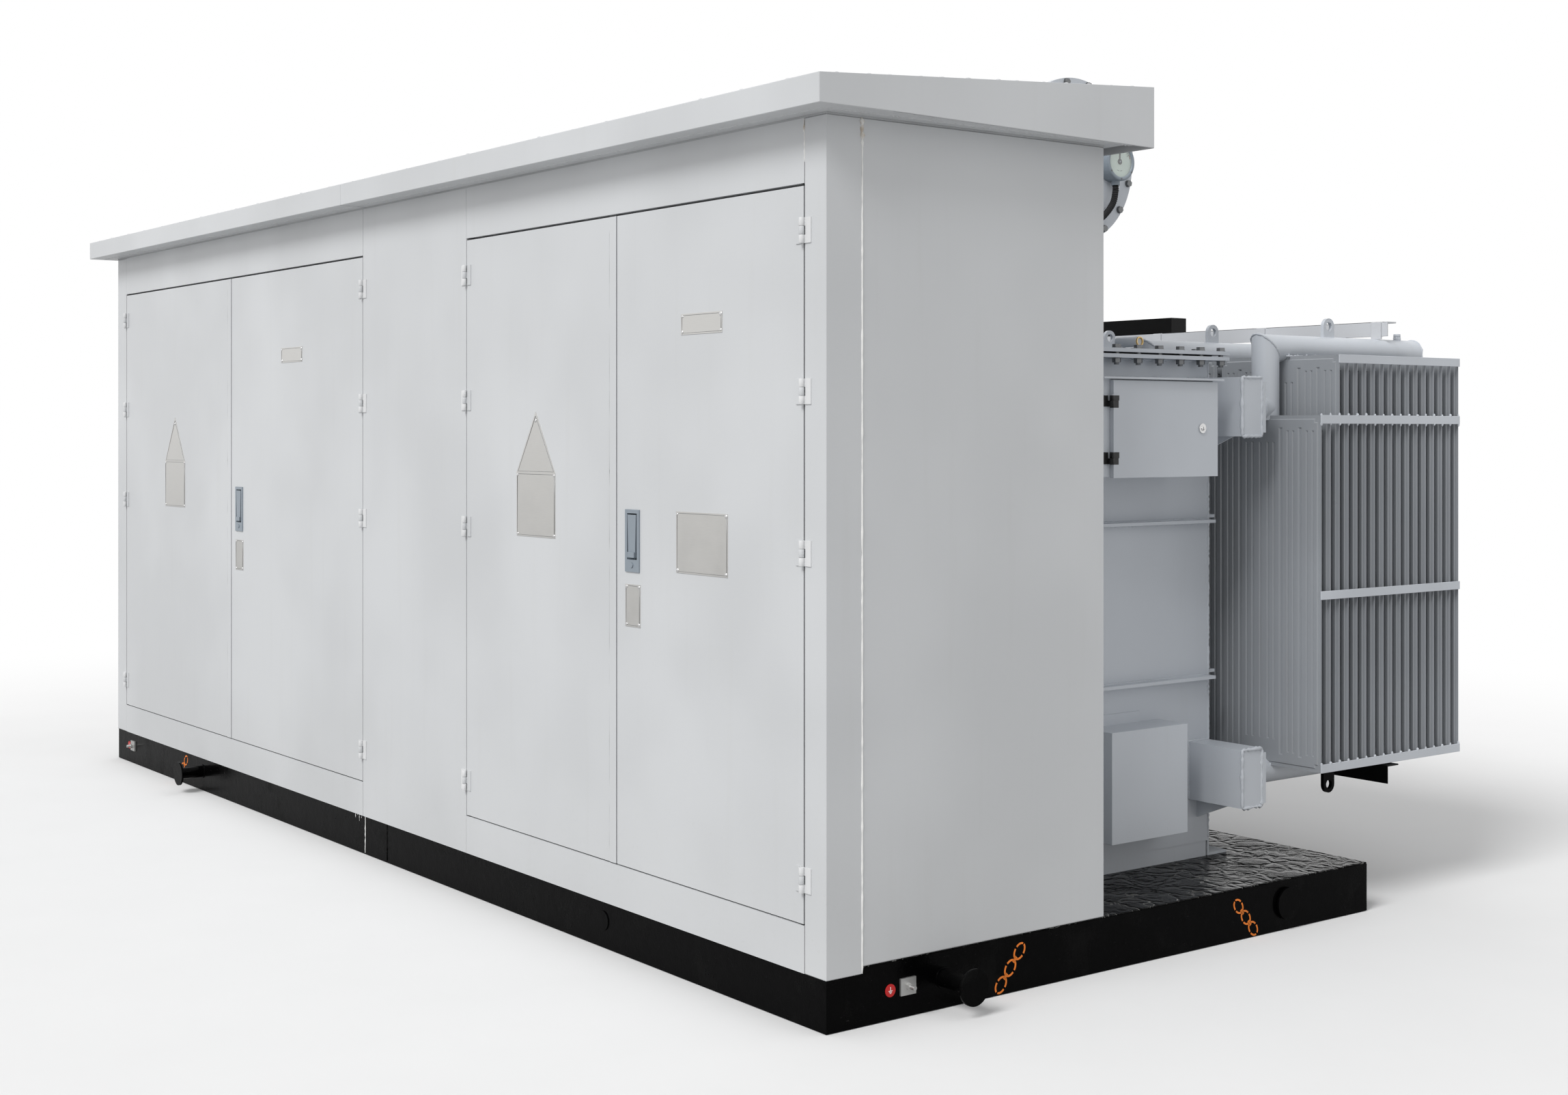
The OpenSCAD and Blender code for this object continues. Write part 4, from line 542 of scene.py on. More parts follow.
def pick_faces(obj, test):
    """Edit mode with the faces selected that pass the test."""
    only(obj)
    bpy.ops.object.mode_set(mode="EDIT")
    bpy.ops.mesh.select_mode(type="FACE")
    bpy.ops.mesh.select_all(action="DESELECT")
    bpy.ops.object.mode_set(mode="OBJECT")
    for face in obj.data.polygons:
        face.select = bool(test(face))
    bpy.ops.object.mode_set(mode="EDIT")


def done_editing():
    bpy.ops.object.mode_set(mode="OBJECT")


def slices(obj, cuts):
    """Bisects the whole mesh at each (axis letter, place) pair."""
    only(obj)
    bpy.ops.object.mode_set(mode="EDIT")
    for axis, place in cuts:
        point, normal = [0, 0, 0], [0, 0, 0]
        point["XYZ".index(axis)] = place
        normal["XYZ".index(axis)] = 1
        bpy.ops.mesh.select_all(action="SELECT")
        bpy.ops.mesh.bisect(plane_co=point, plane_no=normal)
    bpy.ops.object.mode_set(mode="OBJECT")


def bevelled(obj, width, segments, degrees):
    """Adds a bevel along every edge that is sharper than so many degrees."""
    bevel = obj.modifiers.new("bevel", "BEVEL")
    bevel.width = width
    bevel.segments = segments
    bevel.limit_method = "ANGLE"
    bevel.angle_limit = math.radians(degrees)
    return bevel


def rounded(obj, width, segments=1):
    """Bevels the sharp edges for good."""
    only(obj)
    bevelled(obj, width, segments, 40)
    bpy.ops.object.modifier_apply(modifier="bevel")
    return obj


def combined(obj, tool, operation="DIFFERENCE"):
    """Cuts the tool out of the object, or melts it in with UNION."""
    only(obj)
    both = obj.modifiers.new("both", "BOOLEAN")
    both.operation = operation
    both.object = tool
    both.solver = "EXACT"
    bpy.ops.object.modifier_apply(modifier="both")
    bpy.data.objects.remove(tool)
    return obj


def joined(name, parts):
    clear()
    for part in parts:
        part.select_set(True)
    bpy.context.view_layer.objects.active = parts[0]
    if len(parts) > 1:
        bpy.ops.object.join()
    return settle(bpy.context.object, name)


def duplicate(obj):
    twin = obj.copy()
    twin.data = obj.data.copy()
    bpy.context.scene.collection.objects.link(twin)
    return twin


def copies(obj, places):
    """The object at each offset, joined into one; the first offset moves the object itself."""
    made = []
    for place in places[1:]:
        twin = duplicate(obj)
        twin.data.transform(Matrix.Translation(place))
        made.append(twin)
    obj.data.transform(Matrix.Translation(places[0]))
    return joined(obj.name, [obj, *made])


def add(obj, material, body="base", smooth=35, instead=()):
    """The finished piece gets its finish and the body it rides on."""
    settle(obj)
    obj.data.materials.clear()
    obj.data.materials.append(material)
    bpy.ops.object.shade_smooth_by_angle(angle=math.radians(smooth))
    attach(obj, body)
    if instead:
        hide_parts(*instead)
    return obj


def tube(name, runs, radius, resolution):
    """Mesh tubes along runs of points, each point with its share of the radius."""
    curve = bpy.data.curves.new(name, "CURVE")
    curve.dimensions = "3D"
    curve.bevel_depth = radius
    curve.bevel_resolution = resolution
    curve.use_fill_caps = True
    for run in runs:
        spline = curve.splines.new("POLY")
        spline.points.add(len(run) - 1)
        for knot, (point, share) in zip(spline.points, run):
            knot.co = (*point, 1)
            knot.radius = share
    only(linked(name, curve))
    bpy.ops.object.convert(target="MESH")
    return bpy.context.object


def bead(name, lines, radius, step=0.012, wobble=0.25, sides=6, seed=1):
    """Rippled weld or sealant beads along straight stretches, each a closed round-ended run."""
    chance = random.Random(seed)
    runs = []
    for line in lines:
        points = []
        for a, b in zip(line, line[1:]):
            a, b = Vector(a), Vector(b)
            count = max(1, round((b - a).length / step))
            points += [a.lerp(b, i / count) for i in range(count)]
        points.append(Vector(line[-1]))
        run = []
        for i, point in enumerate(points):
            end = 0.45 if i in (0, len(points) - 1) else 1.0
            jitter = Vector([chance.uniform(-1, 1) for _ in range(3)]) * radius * wobble * 0.35
            ripple = wobble * (chance.uniform(-1, 1) + (0.5 if i % 2 else -0.5))
            run.append((point + jitter, end * (1 + ripple)))
        runs.append(run)
    return tube(name, runs, radius, max(0, sides // 2 - 2))


def laid(name, lines, radius, coat, slot, body="base", **how):
    """A bead that is also finished and put on the body it rides on."""
    return add(bead(name, lines, radius, **how), coat, body=body, smooth=60)


def lumps(name, places, size, seed=2, sides=8, rings=5):
    """Small flattened blobs, each with its own size."""
    chance = random.Random(seed)
    made = []
    for place in places:
        clear()
        bpy.ops.mesh.primitive_uv_sphere_add(segments=sides, ring_count=rings, radius=1, location=place)
        blob = bpy.context.object
        blob.scale = [s * chance.uniform(0.7, 1.35) for s in size]
        made.append(blob)
    return joined(name, made)


print("modelling helpers ready")


# %% [markdown]
# ## Radiator fins
# A fin is two pressed sheets welded round a flat edge. The press leaves the middle as a flat pillow with
# upright grooves: narrow pairs between wide ones, and short ones near the middle where the oil comes in. It
# could be a displaced grid, but a slab that is cut along the grooves and inset keeps straight crisp walls
# with few faces.

# %% Press a fin
FIN_W = 0.480
FIN_T = 0.009
SHEET = 0.0011
BORDER = 0.011
FIN_BOTTOM = 0.456
TALL = 1.319
SHORT = 1.126
PITCH = 0.045
FIN_Y = 0.894
FIN_N = 17
SHORT_N = 2
WALL = 0.0032
NARROW_HALF = 0.0012
WIDE_HALF = 0.0038
GROOVES = (
    ((0.210, 0.187, 0.133, 0.111), NARROW_HALF, 0.052),
    ((0.159, 0.083), WIDE_HALF, 0.042),
    ((0.055, 0.031, 0.0), NARROW_HALF, 0.088),
)


def grooves():
    """Middle, half width and distance of its ends from the fin's ends, for each groove."""
    for middles, half, end in GROOVES:
        for middle in middles:
            yield middle, half, end
            if middle:
                yield -middle, half, end


def pressed_fin(name, height):
    fin = block(name, (-FIN_W / 2, -SHEET, 0), (FIN_W / 2, SHEET, height))
    outer, inner = FIN_W / 2 - BORDER, FIN_W / 2 - 2 * BORDER
    across = {outer, -outer, inner, -inner}
    up = {BORDER, 2 * BORDER, height - BORDER, height - 2 * BORDER}
    for middle, half, end in grooves():
        across |= {middle - half, middle + half}
        up |= {end, height - end}
    slices(fin, [("X", x) for x in sorted(across)] + [("Z", z) for z in sorted(up)])

    def on_pillow(face, side):
        x, _, z = face.center
        if face.normal.y * side < 0.9:
            return False
        from_side = FIN_W / 2 - abs(x)
        from_end = min(z, height - z)
        if from_side < BORDER or from_end < BORDER:
            return False
        if from_side < 2 * BORDER and from_end < 2 * BORDER:
            return False
        return not any(
            abs(x - middle) < half and end < z < height - end for middle, half, end in grooves()
        )

    for side in (-1, 1):
        pick_faces(fin, lambda face: on_pillow(face, side))
        bpy.ops.mesh.inset(thickness=WALL, depth=FIN_T / 2 - SHEET, use_even_offset=True)
        done_editing()
    return fin


tall_fin = pressed_fin("tall_fin", TALL)
short_fin = pressed_fin("short_fin", SHORT)
print("a tall fin has", len(tall_fin.data.polygons), "faces; a short one", len(short_fin.data.polygons))


# %% [markdown]
# ## Radiators
# Each radiator hangs on two header pipes. The upper one rises from the tank through a mitred elbow. Flat
# bars tie the fins' edges together at four heights, weld spots sit where each fin enters the header, and eye
# plates at the top and bottom take a sling. One radiator is modelled and copied along the tank.

# %% Headers, elbows and eye plates
PIPE_R = 0.0445
RISER_Y = 0.916
TANK_BACK = 0.777
UPPER_Z = 1.801
LOWER_Z = 0.438
STUB_Z = 1.607
HEADER_END = 1.693
LUG_Y = 1.233
LUG_W = 0.056
LUG_T = 0.012
LUG_HOLE = 0.015
BAR_H = 0.027
BAR_T = 0.004
MIDDLE_BAR = 0.545
SPOT_X = FIN_W / 2 + 0.0005
RADIATOR_N = 6
RADIATOR_PITCH = 0.5
NEAR = 0.0001


def fin_y(k):
    return FIN_Y + k * PITCH


LAST_Y = fin_y(FIN_N - 1) + FIN_T / 2


def mitred(pipe_run, corner, axis):
    """Slants the end of a pipe that starts in a corner, halfway between up and along."""
    along = "XYZ".index(axis)
    across = "XYZ".index("Y" if axis == "Z" else "Z")
    for vertex in pipe_run.data.vertices:
        if abs(vertex.co[along] - corner[along]) < NEAR:
            vertex.co[along] = corner[along] - (vertex.co[across] - corner[across])
    return pipe_run


def pipe(name, start, length, axis):
    """Pipe with a slightly domed, welded end cap at its far end."""
    made = bar(name, start, length, PIPE_R, axis)
    index = "XYZ".index(axis)
    end = start[index] + length
    pick_faces(
        made, lambda face: abs(face.normal[index]) > 0.9 and abs(face.center[index] - end) < NEAR
    )
    bpy.ops.mesh.inset(thickness=0.006, depth=0.0)
    bpy.ops.mesh.inset(thickness=0.012, depth=0.005)
    done_editing()
    return made


def eye_plate(root_z, hole_z):
    """Plate that stands on root_z and has a round end with a hole through it at hole_z."""
    low_z, high_z = sorted((root_z, hole_z))
    plate = block("eye", (-LUG_T / 2, LUG_Y - LUG_W / 2, low_z), (LUG_T / 2, LUG_Y + LUG_W / 2, high_z))
    combined(plate, bar("eye_end", (-LUG_T / 2, LUG_Y, hole_z), LUG_T, LUG_W / 2, "X"), "UNION")
    combined(plate, bar("eye_hole", (-LUG_T, LUG_Y, hole_z), 2 * LUG_T, LUG_HOLE, "X", 24))
    return rounded(plate, 0.0015)


def weld_ring(y, z, lean=0, out=1.01):
    """Ring round a pipe that runs along Y; with a lean of 1 it follows the mitre."""
    ring = []
    for i in range(25):
        angle = i * math.pi / 12
        across, up = PIPE_R * out * math.cos(angle), PIPE_R * out * math.sin(angle)
        ring.append((across, y - lean * up, z + up))
    return ring


def header_pipes():
    corner = Vector((0, RISER_Y, UPPER_Z))
    plug_y = fin_y(FIN_N - 1) - FIN_T / 2
    plug = bar("plug", (0, plug_y, UPPER_Z + PIPE_R - 0.006), 0.016, 0.013, "Z", 16)
    nut = bar("plug_nut", (0, plug_y, UPPER_Z + PIPE_R + 0.01), 0.011, 0.0125, "Z", 6)
    return joined("pipes", [
        mitred(pipe("upper", corner, HEADER_END - RISER_Y, "Y"), corner, "Y"),
        pipe("lower", (0, TANK_BACK, LOWER_Z), HEADER_END - TANK_BACK, "Y"),
        mitred(pipe("riser", corner, -(UPPER_Z - STUB_Z + PIPE_R * 0.9), "Z"), corner, "Z"),
        bar("stub", (0, TANK_BACK, STUB_Z), RISER_Y - TANK_BACK, PIPE_R, "Y"),
        eye_plate(UPPER_Z + PIPE_R - 0.012, UPPER_Z + 0.107 - LUG_W / 2),
        rounded(plug, 0.001),
        rounded(nut, 0.0012),
    ])


def tie_bars():
    levels = ((TALL - BAR_H, SHORT_N), (SHORT - BAR_H, 0), (MIDDLE_BAR, 0), (0, 0))
    bars = []
    for up, first in levels:
        z = FIN_BOTTOM + up
        for side in (-1, 1):
            x = sorted((side * FIN_W / 2, side * (FIN_W / 2 + BAR_T)))
            tie = block("tie", (x[0], fin_y(first) - FIN_T / 2, z), (x[1], LAST_Y, z + BAR_H))
            bars.append(rounded(tie, 0.0008))
    return joined("bars", bars)


def radiator_welds():
    spots = []
    for k in range(FIN_N):
        y = fin_y(k)
        for side in (-1, 1):
            if k >= SHORT_N:
                spots.append((side * PIPE_R * 0.86, y, UPPER_Z - PIPE_R * 0.5))
            spots.append((side * PIPE_R * 0.86, y, LOWER_Z + PIPE_R * 0.45))
            spots.append((side * SPOT_X, y, FIN_BOTTOM + BAR_H + 0.001))
            spots.append((side * SPOT_X, y, FIN_BOTTOM + SHORT - BAR_H - 0.001))
            spots.append((side * SPOT_X, y, FIN_BOTTOM + SHORT + 0.001))
    spots = lumps("weld_spots", spots, (0.004, 0.0042, 0.006), seed=5, sides=6, rings=4)
    lines = [
        weld_ring(TANK_BACK + 0.004, STUB_Z),
        weld_ring(RISER_Y - PIPE_R, STUB_Z),
        weld_ring(TANK_BACK + 0.004, LOWER_Z),
        weld_ring(RISER_Y, UPPER_Z, lean=1),
        weld_ring(HEADER_END - 0.002, UPPER_Z, out=1.0),
    ]
    for x in (-0.0448, 0.0448):
        lines.append([(x, fin_y(SHORT_N) - 0.02, UPPER_Z - 0.026), (x, LAST_Y, UPPER_Z - 0.026)])
    return joined("welds", [spots, bead("weld_rings", lines, 0.0032, step=0.009, wobble=0.3, seed=4)])


def one_radiator():
    rows = ((short_fin, range(SHORT_N)), (tall_fin, range(SHORT_N, FIN_N)))
    fins = [copies(duplicate(fin), [(0, fin_y(k), FIN_BOTTOM) for k in row]) for fin, row in rows]
    fins = joined("fins", fins)
    pipes = header_pipes()
    lug = eye_plate(LOWER_Z - PIPE_R + 0.012, LOWER_Z - 0.113 + LUG_W / 2)
    lug.name = "lug"
    return fins, pipes, tie_bars(), lug, radiator_welds()


groups = one_radiator()
first_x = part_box("radiators")[1].x - FIN_W / 2 - BAR_T
# Painted shade: the fins take the darker fin paint for the shade between them; the pipes, bars and welds take
# the tank paint, and the lugs are black.
COATS = {"lug": (skid_paint, "black_paint"), "fins": (fin_paint_with_painted_shade, "tank_paint")}
for group in groups:
    coat, slot = COATS.get(group.name, (tank_paint, "tank_paint"))
    smooth = 30 if group.name in ("fins", "bars") else 50
    for i in range(RADIATOR_N):
        twin = duplicate(group)
        twin.data.transform(Matrix.Translation((first_x - RADIATOR_PITCH * i, 0, 0)))
        settle(twin, f"radiator_{i + 1}_{group.name}")
        add(twin, coat, smooth=smooth, instead=["radiators"])
    print(group.name, len(group.data.polygons), "faces a radiator")
for spare in (*groups, tall_fin, short_fin):
    bpy.data.objects.remove(spare)


# %% [markdown]
# ## Edges
# Folded sheet, cast metal and thick paint never end in a razor edge. A narrow bevel on the frame's own parts
# catches the light along every fold. It is a modifier, so the frame keeps its true shape underneath.

# %% Soften the frame's edges
EDGES = {
    0.003: "corner_posts roof_panels centre_panel end_panels",
    0.0016: "control_box control_box_door cable_cover_box " + DOORS,
    0.0022: "tank tank_cover radiator_braces conservator deck_plate",
    0.0012: "lift_sleeves lv_breaker load_switch breaker_knob switch_knob tap_handwheel cam_lock "
    f"{HANDLES} {PINS}",
    0.0007: "oil_gauge hinge_frame_leaves earth_terminals tank_bolts",
}
for width, names in EDGES.items():
    for name in names.split():
        part = nodes[name]
        weld = part.modifiers.new("weld", "WELD")
        weld.merge_threshold = 0.00001
        bevel = bevelled(part, width, 2, 50)
        bevel.use_clamp_overlap = True
        bevel.harden_normals = True
print("softened", sum(len(names.split()) for names in EDGES.values()), "parts")


# %% [markdown]
# ## Welds on the tank
# The tank is plate, welded up by hand: a bead runs down its corner, round each duct and its end cap, and
# along every rib. The beads ripple, because the welder moves in steps. They take the tank's own paint.

# %% Tank welds
WALL_X = 2.328
BACK_Y = 0.765
FRONT_Y = -0.046
FOOT_Z = 0.215
DUCT_X = 2.549
DUCT_Y = 0.671
DUCT_MID_Y = 0.718
DUCTS = ((0.349, 0.533), (1.515, 1.701))
RIBS = (0.738, 1.241)
RIB_HALF = 0.0055
FLANGE_Z = 1.759
OUT = 0.001


def ring_yz(x, low, high, out=0.0):
    """Closed rectangle across X, grown by out."""
    y0, y1 = low[0] - out, high[0] + out
    z0, z1 = low[1] - out, high[1] + out
    return [(x, y0, z0), (x, y1, z0), (x, y1, z1), (x, y0, z1), (x, y0, z0)]


fine_lines = [
    [(WALL_X, BACK_Y, FOOT_Z), (WALL_X, BACK_Y, FLANGE_Z)],
    [(WALL_X + OUT, FRONT_Y + 0.01, FLANGE_Z - 0.002), (WALL_X + OUT, BACK_Y, FLANGE_Z - 0.002)],
]
for rib_z in RIBS:
    for z in (rib_z - RIB_HALF, rib_z + RIB_HALF):
        fine_lines.append([(WALL_X + OUT, FRONT_Y + 0.02, z), (WALL_X + OUT, BACK_Y - 0.008, z)])
for low_z, high_z in DUCTS:
    fine_lines.append(ring_yz(WALL_X + OUT, (DUCT_Y, low_z), (BACK_Y - 0.003, high_z), OUT))
    fine_lines.append([(WALL_X + 0.002, DUCT_MID_Y, low_z), (WALL_X + 0.002, DUCT_MID_Y, low_z - 0.06)])
WELD = {"coat": tank_paint, "slot": "tank_paint"}
tank_welds = laid(
    "tank_welds", fine_lines, 0.0036, **WELD, step=0.008, wobble=0.35, sides=8, seed=11
)
caps = [ring_yz(DUCT_X - OUT, (DUCT_Y, low_z), (BACK_Y, high_z), -OUT) for low_z, high_z in DUCTS]
cap_welds = laid("duct_welds", caps, 0.0052, **WELD, step=0.009, wobble=0.4, sides=8, seed=12)
rear = [[(0.07, BACK_Y + OUT, z + 0.021), (2.31, BACK_Y + OUT, z + 0.021)] for z in RIBS]
laid("rear_rib_welds", rear, 0.0036, **WELD, step=0.014, wobble=0.3, seed=13)
print("tank weld faces", len(tank_welds.data.polygons), len(cap_welds.data.polygons))


# %% [markdown]
# ## Oil gauge
# The dial behind the glass is pale green, with black ticks and a red-brown mark at each end. Its bezel is a
# thick cast ring with small screws. The pointer is the frame's own, so everything here leaves it room to
# turn. The dark steel of the screws also goes on the bolts round the tank's rim, and it draws the pressed
# lines on the plates, as painted shade.

# %% Gauge materials
def plain(name, colour, rough, metal=0.0, grain=0.002, vary=0.12, **constants):
    """A coat with a slight drift in tone and a fine grain."""
    coat = Finish(name, Metallic=metal, **constants)
    drift = coat.noise(grain * 20, 3.0)
    darker = tuple(c * (1 - vary) for c in colour)
    tone = drift.mix(darker, tuple(min(1, c * (1 + vary)) for c in colour))
    gloss = rough + 0.12 * (drift - 0.5)
    return coat.shade(tone, gloss, height=coat.noise(grain), depth=0.0001, strength=0.4)


dial_face = plain("dial_face", (0.60, 0.70, 0.64), 0.45, vary=0.03)
# The same black also draws the cam lock's key slot, as painted shade.
dial_ink_and_slot_shade = plain("dial_ink_and_slot_shade", (0.015, 0.015, 0.015), 0.5)
dial_red = plain("dial_red", (0.24, 0.035, 0.02), 0.5)
brass = plain("brass", (0.70, 0.50, 0.22), 0.28, metal=1.0)
dark_steel_and_line_shade = plain("dark_steel_and_line_shade", (0.20, 0.205, 0.21), 0.42, metal=0.8)
sight_glass = plain("sight_glass", (0.9, 0.95, 0.93), 0.04, Alpha=0.16)
nodes["tank_bolts"].data.materials[0] = dark_steel_and_line_shade
print("gauge materials made")


# %% Gauge dial, bezel and glass
GAUGE = Vector((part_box("oil_gauge")[1].x, 0.4895, 2.397))
FACE_X = GAUGE.x - 0.005


def turned(obj, centre, degrees, axis="X"):
    """Turns the mesh itself about a line through centre."""
    turn = Matrix.Rotation(math.radians(degrees), 4, axis)
    obj.data.transform(Matrix.Translation(centre) @ turn @ Matrix.Translation(-centre))
    return obj


def dial_mark(degrees, reach, length, width):
    low = (FACE_X, GAUGE.y - width / 2, GAUGE.z + reach - length)
    high = (FACE_X + 0.0002, GAUGE.y + width / 2, GAUGE.z + reach)
    return turned(block("mark", low, high), GAUGE, degrees)


dial = bar("gauge_dial", (FACE_X - 0.0003, GAUGE.y, GAUGE.z), 0.0004, 0.0545, "X", 64)
add(dial, dial_face)
ticks = [dial_mark(angle, 0.048, 0.010 if angle % 30 == 0 else 0.006, 0.0014) for angle in range(-60, 61, 10)]
ticks += [dial_mark(180 + angle, 0.030, 0.0014, 0.010) for angle in (-14, 14)]
add(joined("gauge_ticks", ticks), dial_ink_and_slot_shade)
ends = [dial_mark(angle, 0.050, 0.003, 0.013) for angle in (-68, 68)]
add(joined("gauge_end_marks", ends), dial_red)
clear()
bpy.ops.mesh.primitive_torus_add(
    major_segments=72, minor_segments=14, major_radius=0.0555, minor_radius=0.0062,
    location=GAUGE, rotation=TURNS["X"]
)
bezel = settle(bpy.context.object, "gauge_bezel")
flatter = Matrix.Diagonal((0.62, 1, 1, 1))
bezel.data.transform(Matrix.Translation(GAUGE) @ flatter @ Matrix.Translation(-GAUGE))
add(bezel, handle_paint, smooth=60)
pane = bar("gauge_glass", (GAUGE.x - 0.0004, GAUGE.y, GAUGE.z), 0.0012, 0.0525, "X", 64)
add(pane, sight_glass)
screws = []
for angle in (35, 125, 180, 235, 325):
    screw = bar("screw", GAUGE + Vector((0, 0, 0.0555)), 0.0052, 0.0030, "X", 16)
    slot = block("slot", GAUGE + Vector((0.0044, -0.0004, 0.05)), GAUGE + Vector((0.006, 0.0004, 0.062)))
    screws.append(turned(combined(screw, slot), GAUGE, angle))
add(joined("gauge_screws", screws), dark_steel_and_line_shade)
print("gauge at", tuple(GAUGE))


# %% [markdown]
# ## Conduit
# A corrugated black conduit takes the gauge's wires down behind the roof to the control box. Its route is
# the frame's own. The ribs are real: the curve's radius steps up and down, and the curve is then turned into
# a mesh.

# %% Corrugated conduit
CONDUIT_R = 0.011
RIDGE = 0.0034
GLAND_X = 2.418
ROUTE = [
    (2.182, 0.4895, 2.323), (2.182, 0.4895, 2.314), (2.182, 0.4895, 2.305), (2.182, 0.4745, 2.260),
    (2.182, 0.4195, 2.210), (2.182, 0.3295, 2.170), (2.182, 0.2445, 2.120), (2.212, 0.1895, 2.035),
    (2.302, 0.1595, 1.915), (GLAND_X, 0.152, 1.827), (GLAND_X, 0.152, 1.737), (GLAND_X, 0.152, 1.703),
]


def smooth_route(points, parts):
    """Points along a smooth curve through the route, as the frame's own conduit follows it."""
    points = [Vector(p) for p in points]
    made = []
    for i in range(len(points) - 1):
        a, b, c, d = (points[max(0, min(k, len(points) - 1))] for k in range(i - 1, i + 3))
        for k in range(parts):
            t = k / parts
            bend, twist = 2 * a - 5 * b + 4 * c - d, 3 * b - a - 3 * c + d
            made.append((2 * b + (c - a) * t + bend * t * t + twist * t ** 3) / 2)
    return [*made, points[-1]]


def evenly(points, step):
    """The same line with points about step apart."""
    total = sum((b - a).length for a, b in zip(points, points[1:]))
    count = round(total / step)
    made, walked, i = [points[0]], 0.0, 0
    for k in range(1, count):
        target = total * k / count
        stretch = (points[i + 1] - points[i]).length
        while walked + stretch < target:
            walked += stretch
            i += 1
            stretch = (points[i + 1] - points[i]).length
        made.append(points[i].lerp(points[i + 1], (target - walked) / stretch))
    return [*made, points[-1]], total


line, conduit_length = evenly(smooth_route(ROUTE, 12), RIDGE)
run = [(point, 1.0 if i % 2 else 0.82) for i, point in enumerate(line)]
hose = tube("conduit", [run], CONDUIT_R, 4)
add(hose, rubber, smooth=30, instead=["gauge_conduit"])
[tuple(p) for p in line[::3]] + [ROUTE[-1]]
print("conduit", round(conduit_length, 3), "m long with", len(line), "ridges and grooves")


# %% [markdown]
# ## Small fittings on the tank
# The valve for filling the tank ends in a brass ring. The cam lock has a raised barrel; its key slot is a
# thin black strip, painted shade in place of a cut.

# %% Filler ring and lock barrel
FILLER = Vector((2.290, 0.4835, 1.816))
ring = bar("filler_ring", FILLER - Vector((0.004, 0, 0)), 0.009, 0.0155, "X")
ring = combined(ring, bar("hole", FILLER - Vector((0.001, 0, 0)), 0.02, 0.0115, "X"))
add(rounded(ring, 0.0012, 2), brass)
LOCK = Vector((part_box("cam_lock")[1].x, 0.5, 1.540))
barrel = bar("lock_barrel", LOCK - Vector((0.001, 0, 0)), 0.003, 0.0075, "X")
add(rounded(barrel, 0.0006, 2), chrome, body="cam_lock_body")
# The key slot is not cut: a thin black strip, standing just off the barrel's face, is painted shade in the
# slot.
slot_low, slot_high = Vector((0.0015, -0.0008, -0.0055)), Vector((0.0022, 0.0008, 0.0055))
key_slot = block("key_slot", LOCK + slot_low, LOCK + slot_high)
add(key_slot, dial_ink_and_slot_shade, body="cam_lock_body")
print("lock at", tuple(LOCK))


# %% [markdown]
# ## Sealant
# White sealant closes the long joint between the end panel and the corner post, and the short joints over the
# doors. It has gone tan at the top of the long joint, where it was smeared under the eave.

# %% Sealant beads
def sealant_finish():
    coat = Finish("sealant", Specular_IOR_Level=0.4)
    smear = coat.noise(0.03, 4.0, 0.6)
    tan = coat.axis("Z").step(2.272, 2.30) * smear.step(0.35, 0.55)
    tone = (0.8 * tan).mix(smear.mix((0.80, 0.80, 0.78), (0.90, 0.90, 0.88)), (0.42, 0.33, 0.23))
    return coat.shade(tone, 0.38 + 0.2 * smear, height=coat.noise(0.004, 3.0), depth=0.0005, strength=0.5)


sealant = sealant_finish()
strip_edge_shade = plain("strip_edge_painted_shade", (0.16, 0.165, 0.17), 0.6)
JOINT_Y = -0.982
END_X = 2.7
FRONT = -1.1
EDGE_X = 2.6105
JOINT = {"coat": sealant, "slot": "enclosure_paint", "sides": 8}
joint = [[(END_X, JOINT_Y, 0.137), (END_X, JOINT_Y, 2.30)]]
laid("end_sealant", joint, 0.0024, **JOINT, step=0.018, wobble=0.3, seed=21)
smear = [[(END_X, JOINT_Y + 0.001, 2.262), (END_X, JOINT_Y - 0.002, 2.336)]]
laid("end_sealant_top", smear, 0.0042, **JOINT, step=0.009, wobble=0.6, seed=22)
streaks = [
    [(EDGE_X, FRONT, 2.222), (EDGE_X, FRONT, 2.318)],
    [(EDGE_X - 0.004, FRONT, 2.300), (EDGE_X - 0.001, FRONT, 2.334)],
]
laid("header_sealant", streaks, 0.0019, **JOINT, step=0.010, wobble=0.4, seed=23)
print("sealant beads made")


# %% [markdown]
# ## Eave and roof edge
# A knurled seal runs under the eave along the front and the end. On top, the roof sheets are tacked down, and
# each tack left a small painted lump at the edge.

# %% Eave seal and tacks
roof_low, roof_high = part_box("roof_panels")
UNDER_Z = 2.343
SEAL_IN = 0.042
seal_lines = [
    [(-2.76, FRONT - SEAL_IN, UNDER_Z), (END_X + SEAL_IN, FRONT - SEAL_IN, UNDER_Z)],
    [(END_X + SEAL_IN, FRONT - SEAL_IN, UNDER_Z), (END_X + SEAL_IN, -0.03, UNDER_Z)],
]
KNURL = {"coat": enclosure_paint, "slot": "enclosure_paint", "step": 0.0065, "wobble": 0.55}
knurl = laid("eave_seal", seal_lines, 0.0026, **KNURL, seed=31)
EAVE_Y, EAVE_TOP, RIDGE_TOP, ROOF_RUN = -1.2, 2.418, 2.503, 1.2
TACK_IN = 0.012
chance = random.Random(8)
slope = (RIDGE_TOP - EAVE_TOP) / ROOF_RUN
tacks = []
for i in range(13):
    y = -1.13 + i * 0.088 + chance.uniform(-0.012, 0.012)
    tacks.append((roof_high.x - TACK_IN, y, EAVE_TOP + slope * (y - EAVE_Y) + 0.0005))
for i in range(26):
    x = -2.7 + i * 0.215 + chance.uniform(-0.03, 0.03)
    tacks.append((x, roof_low.y + TACK_IN, EAVE_TOP + 0.0015))
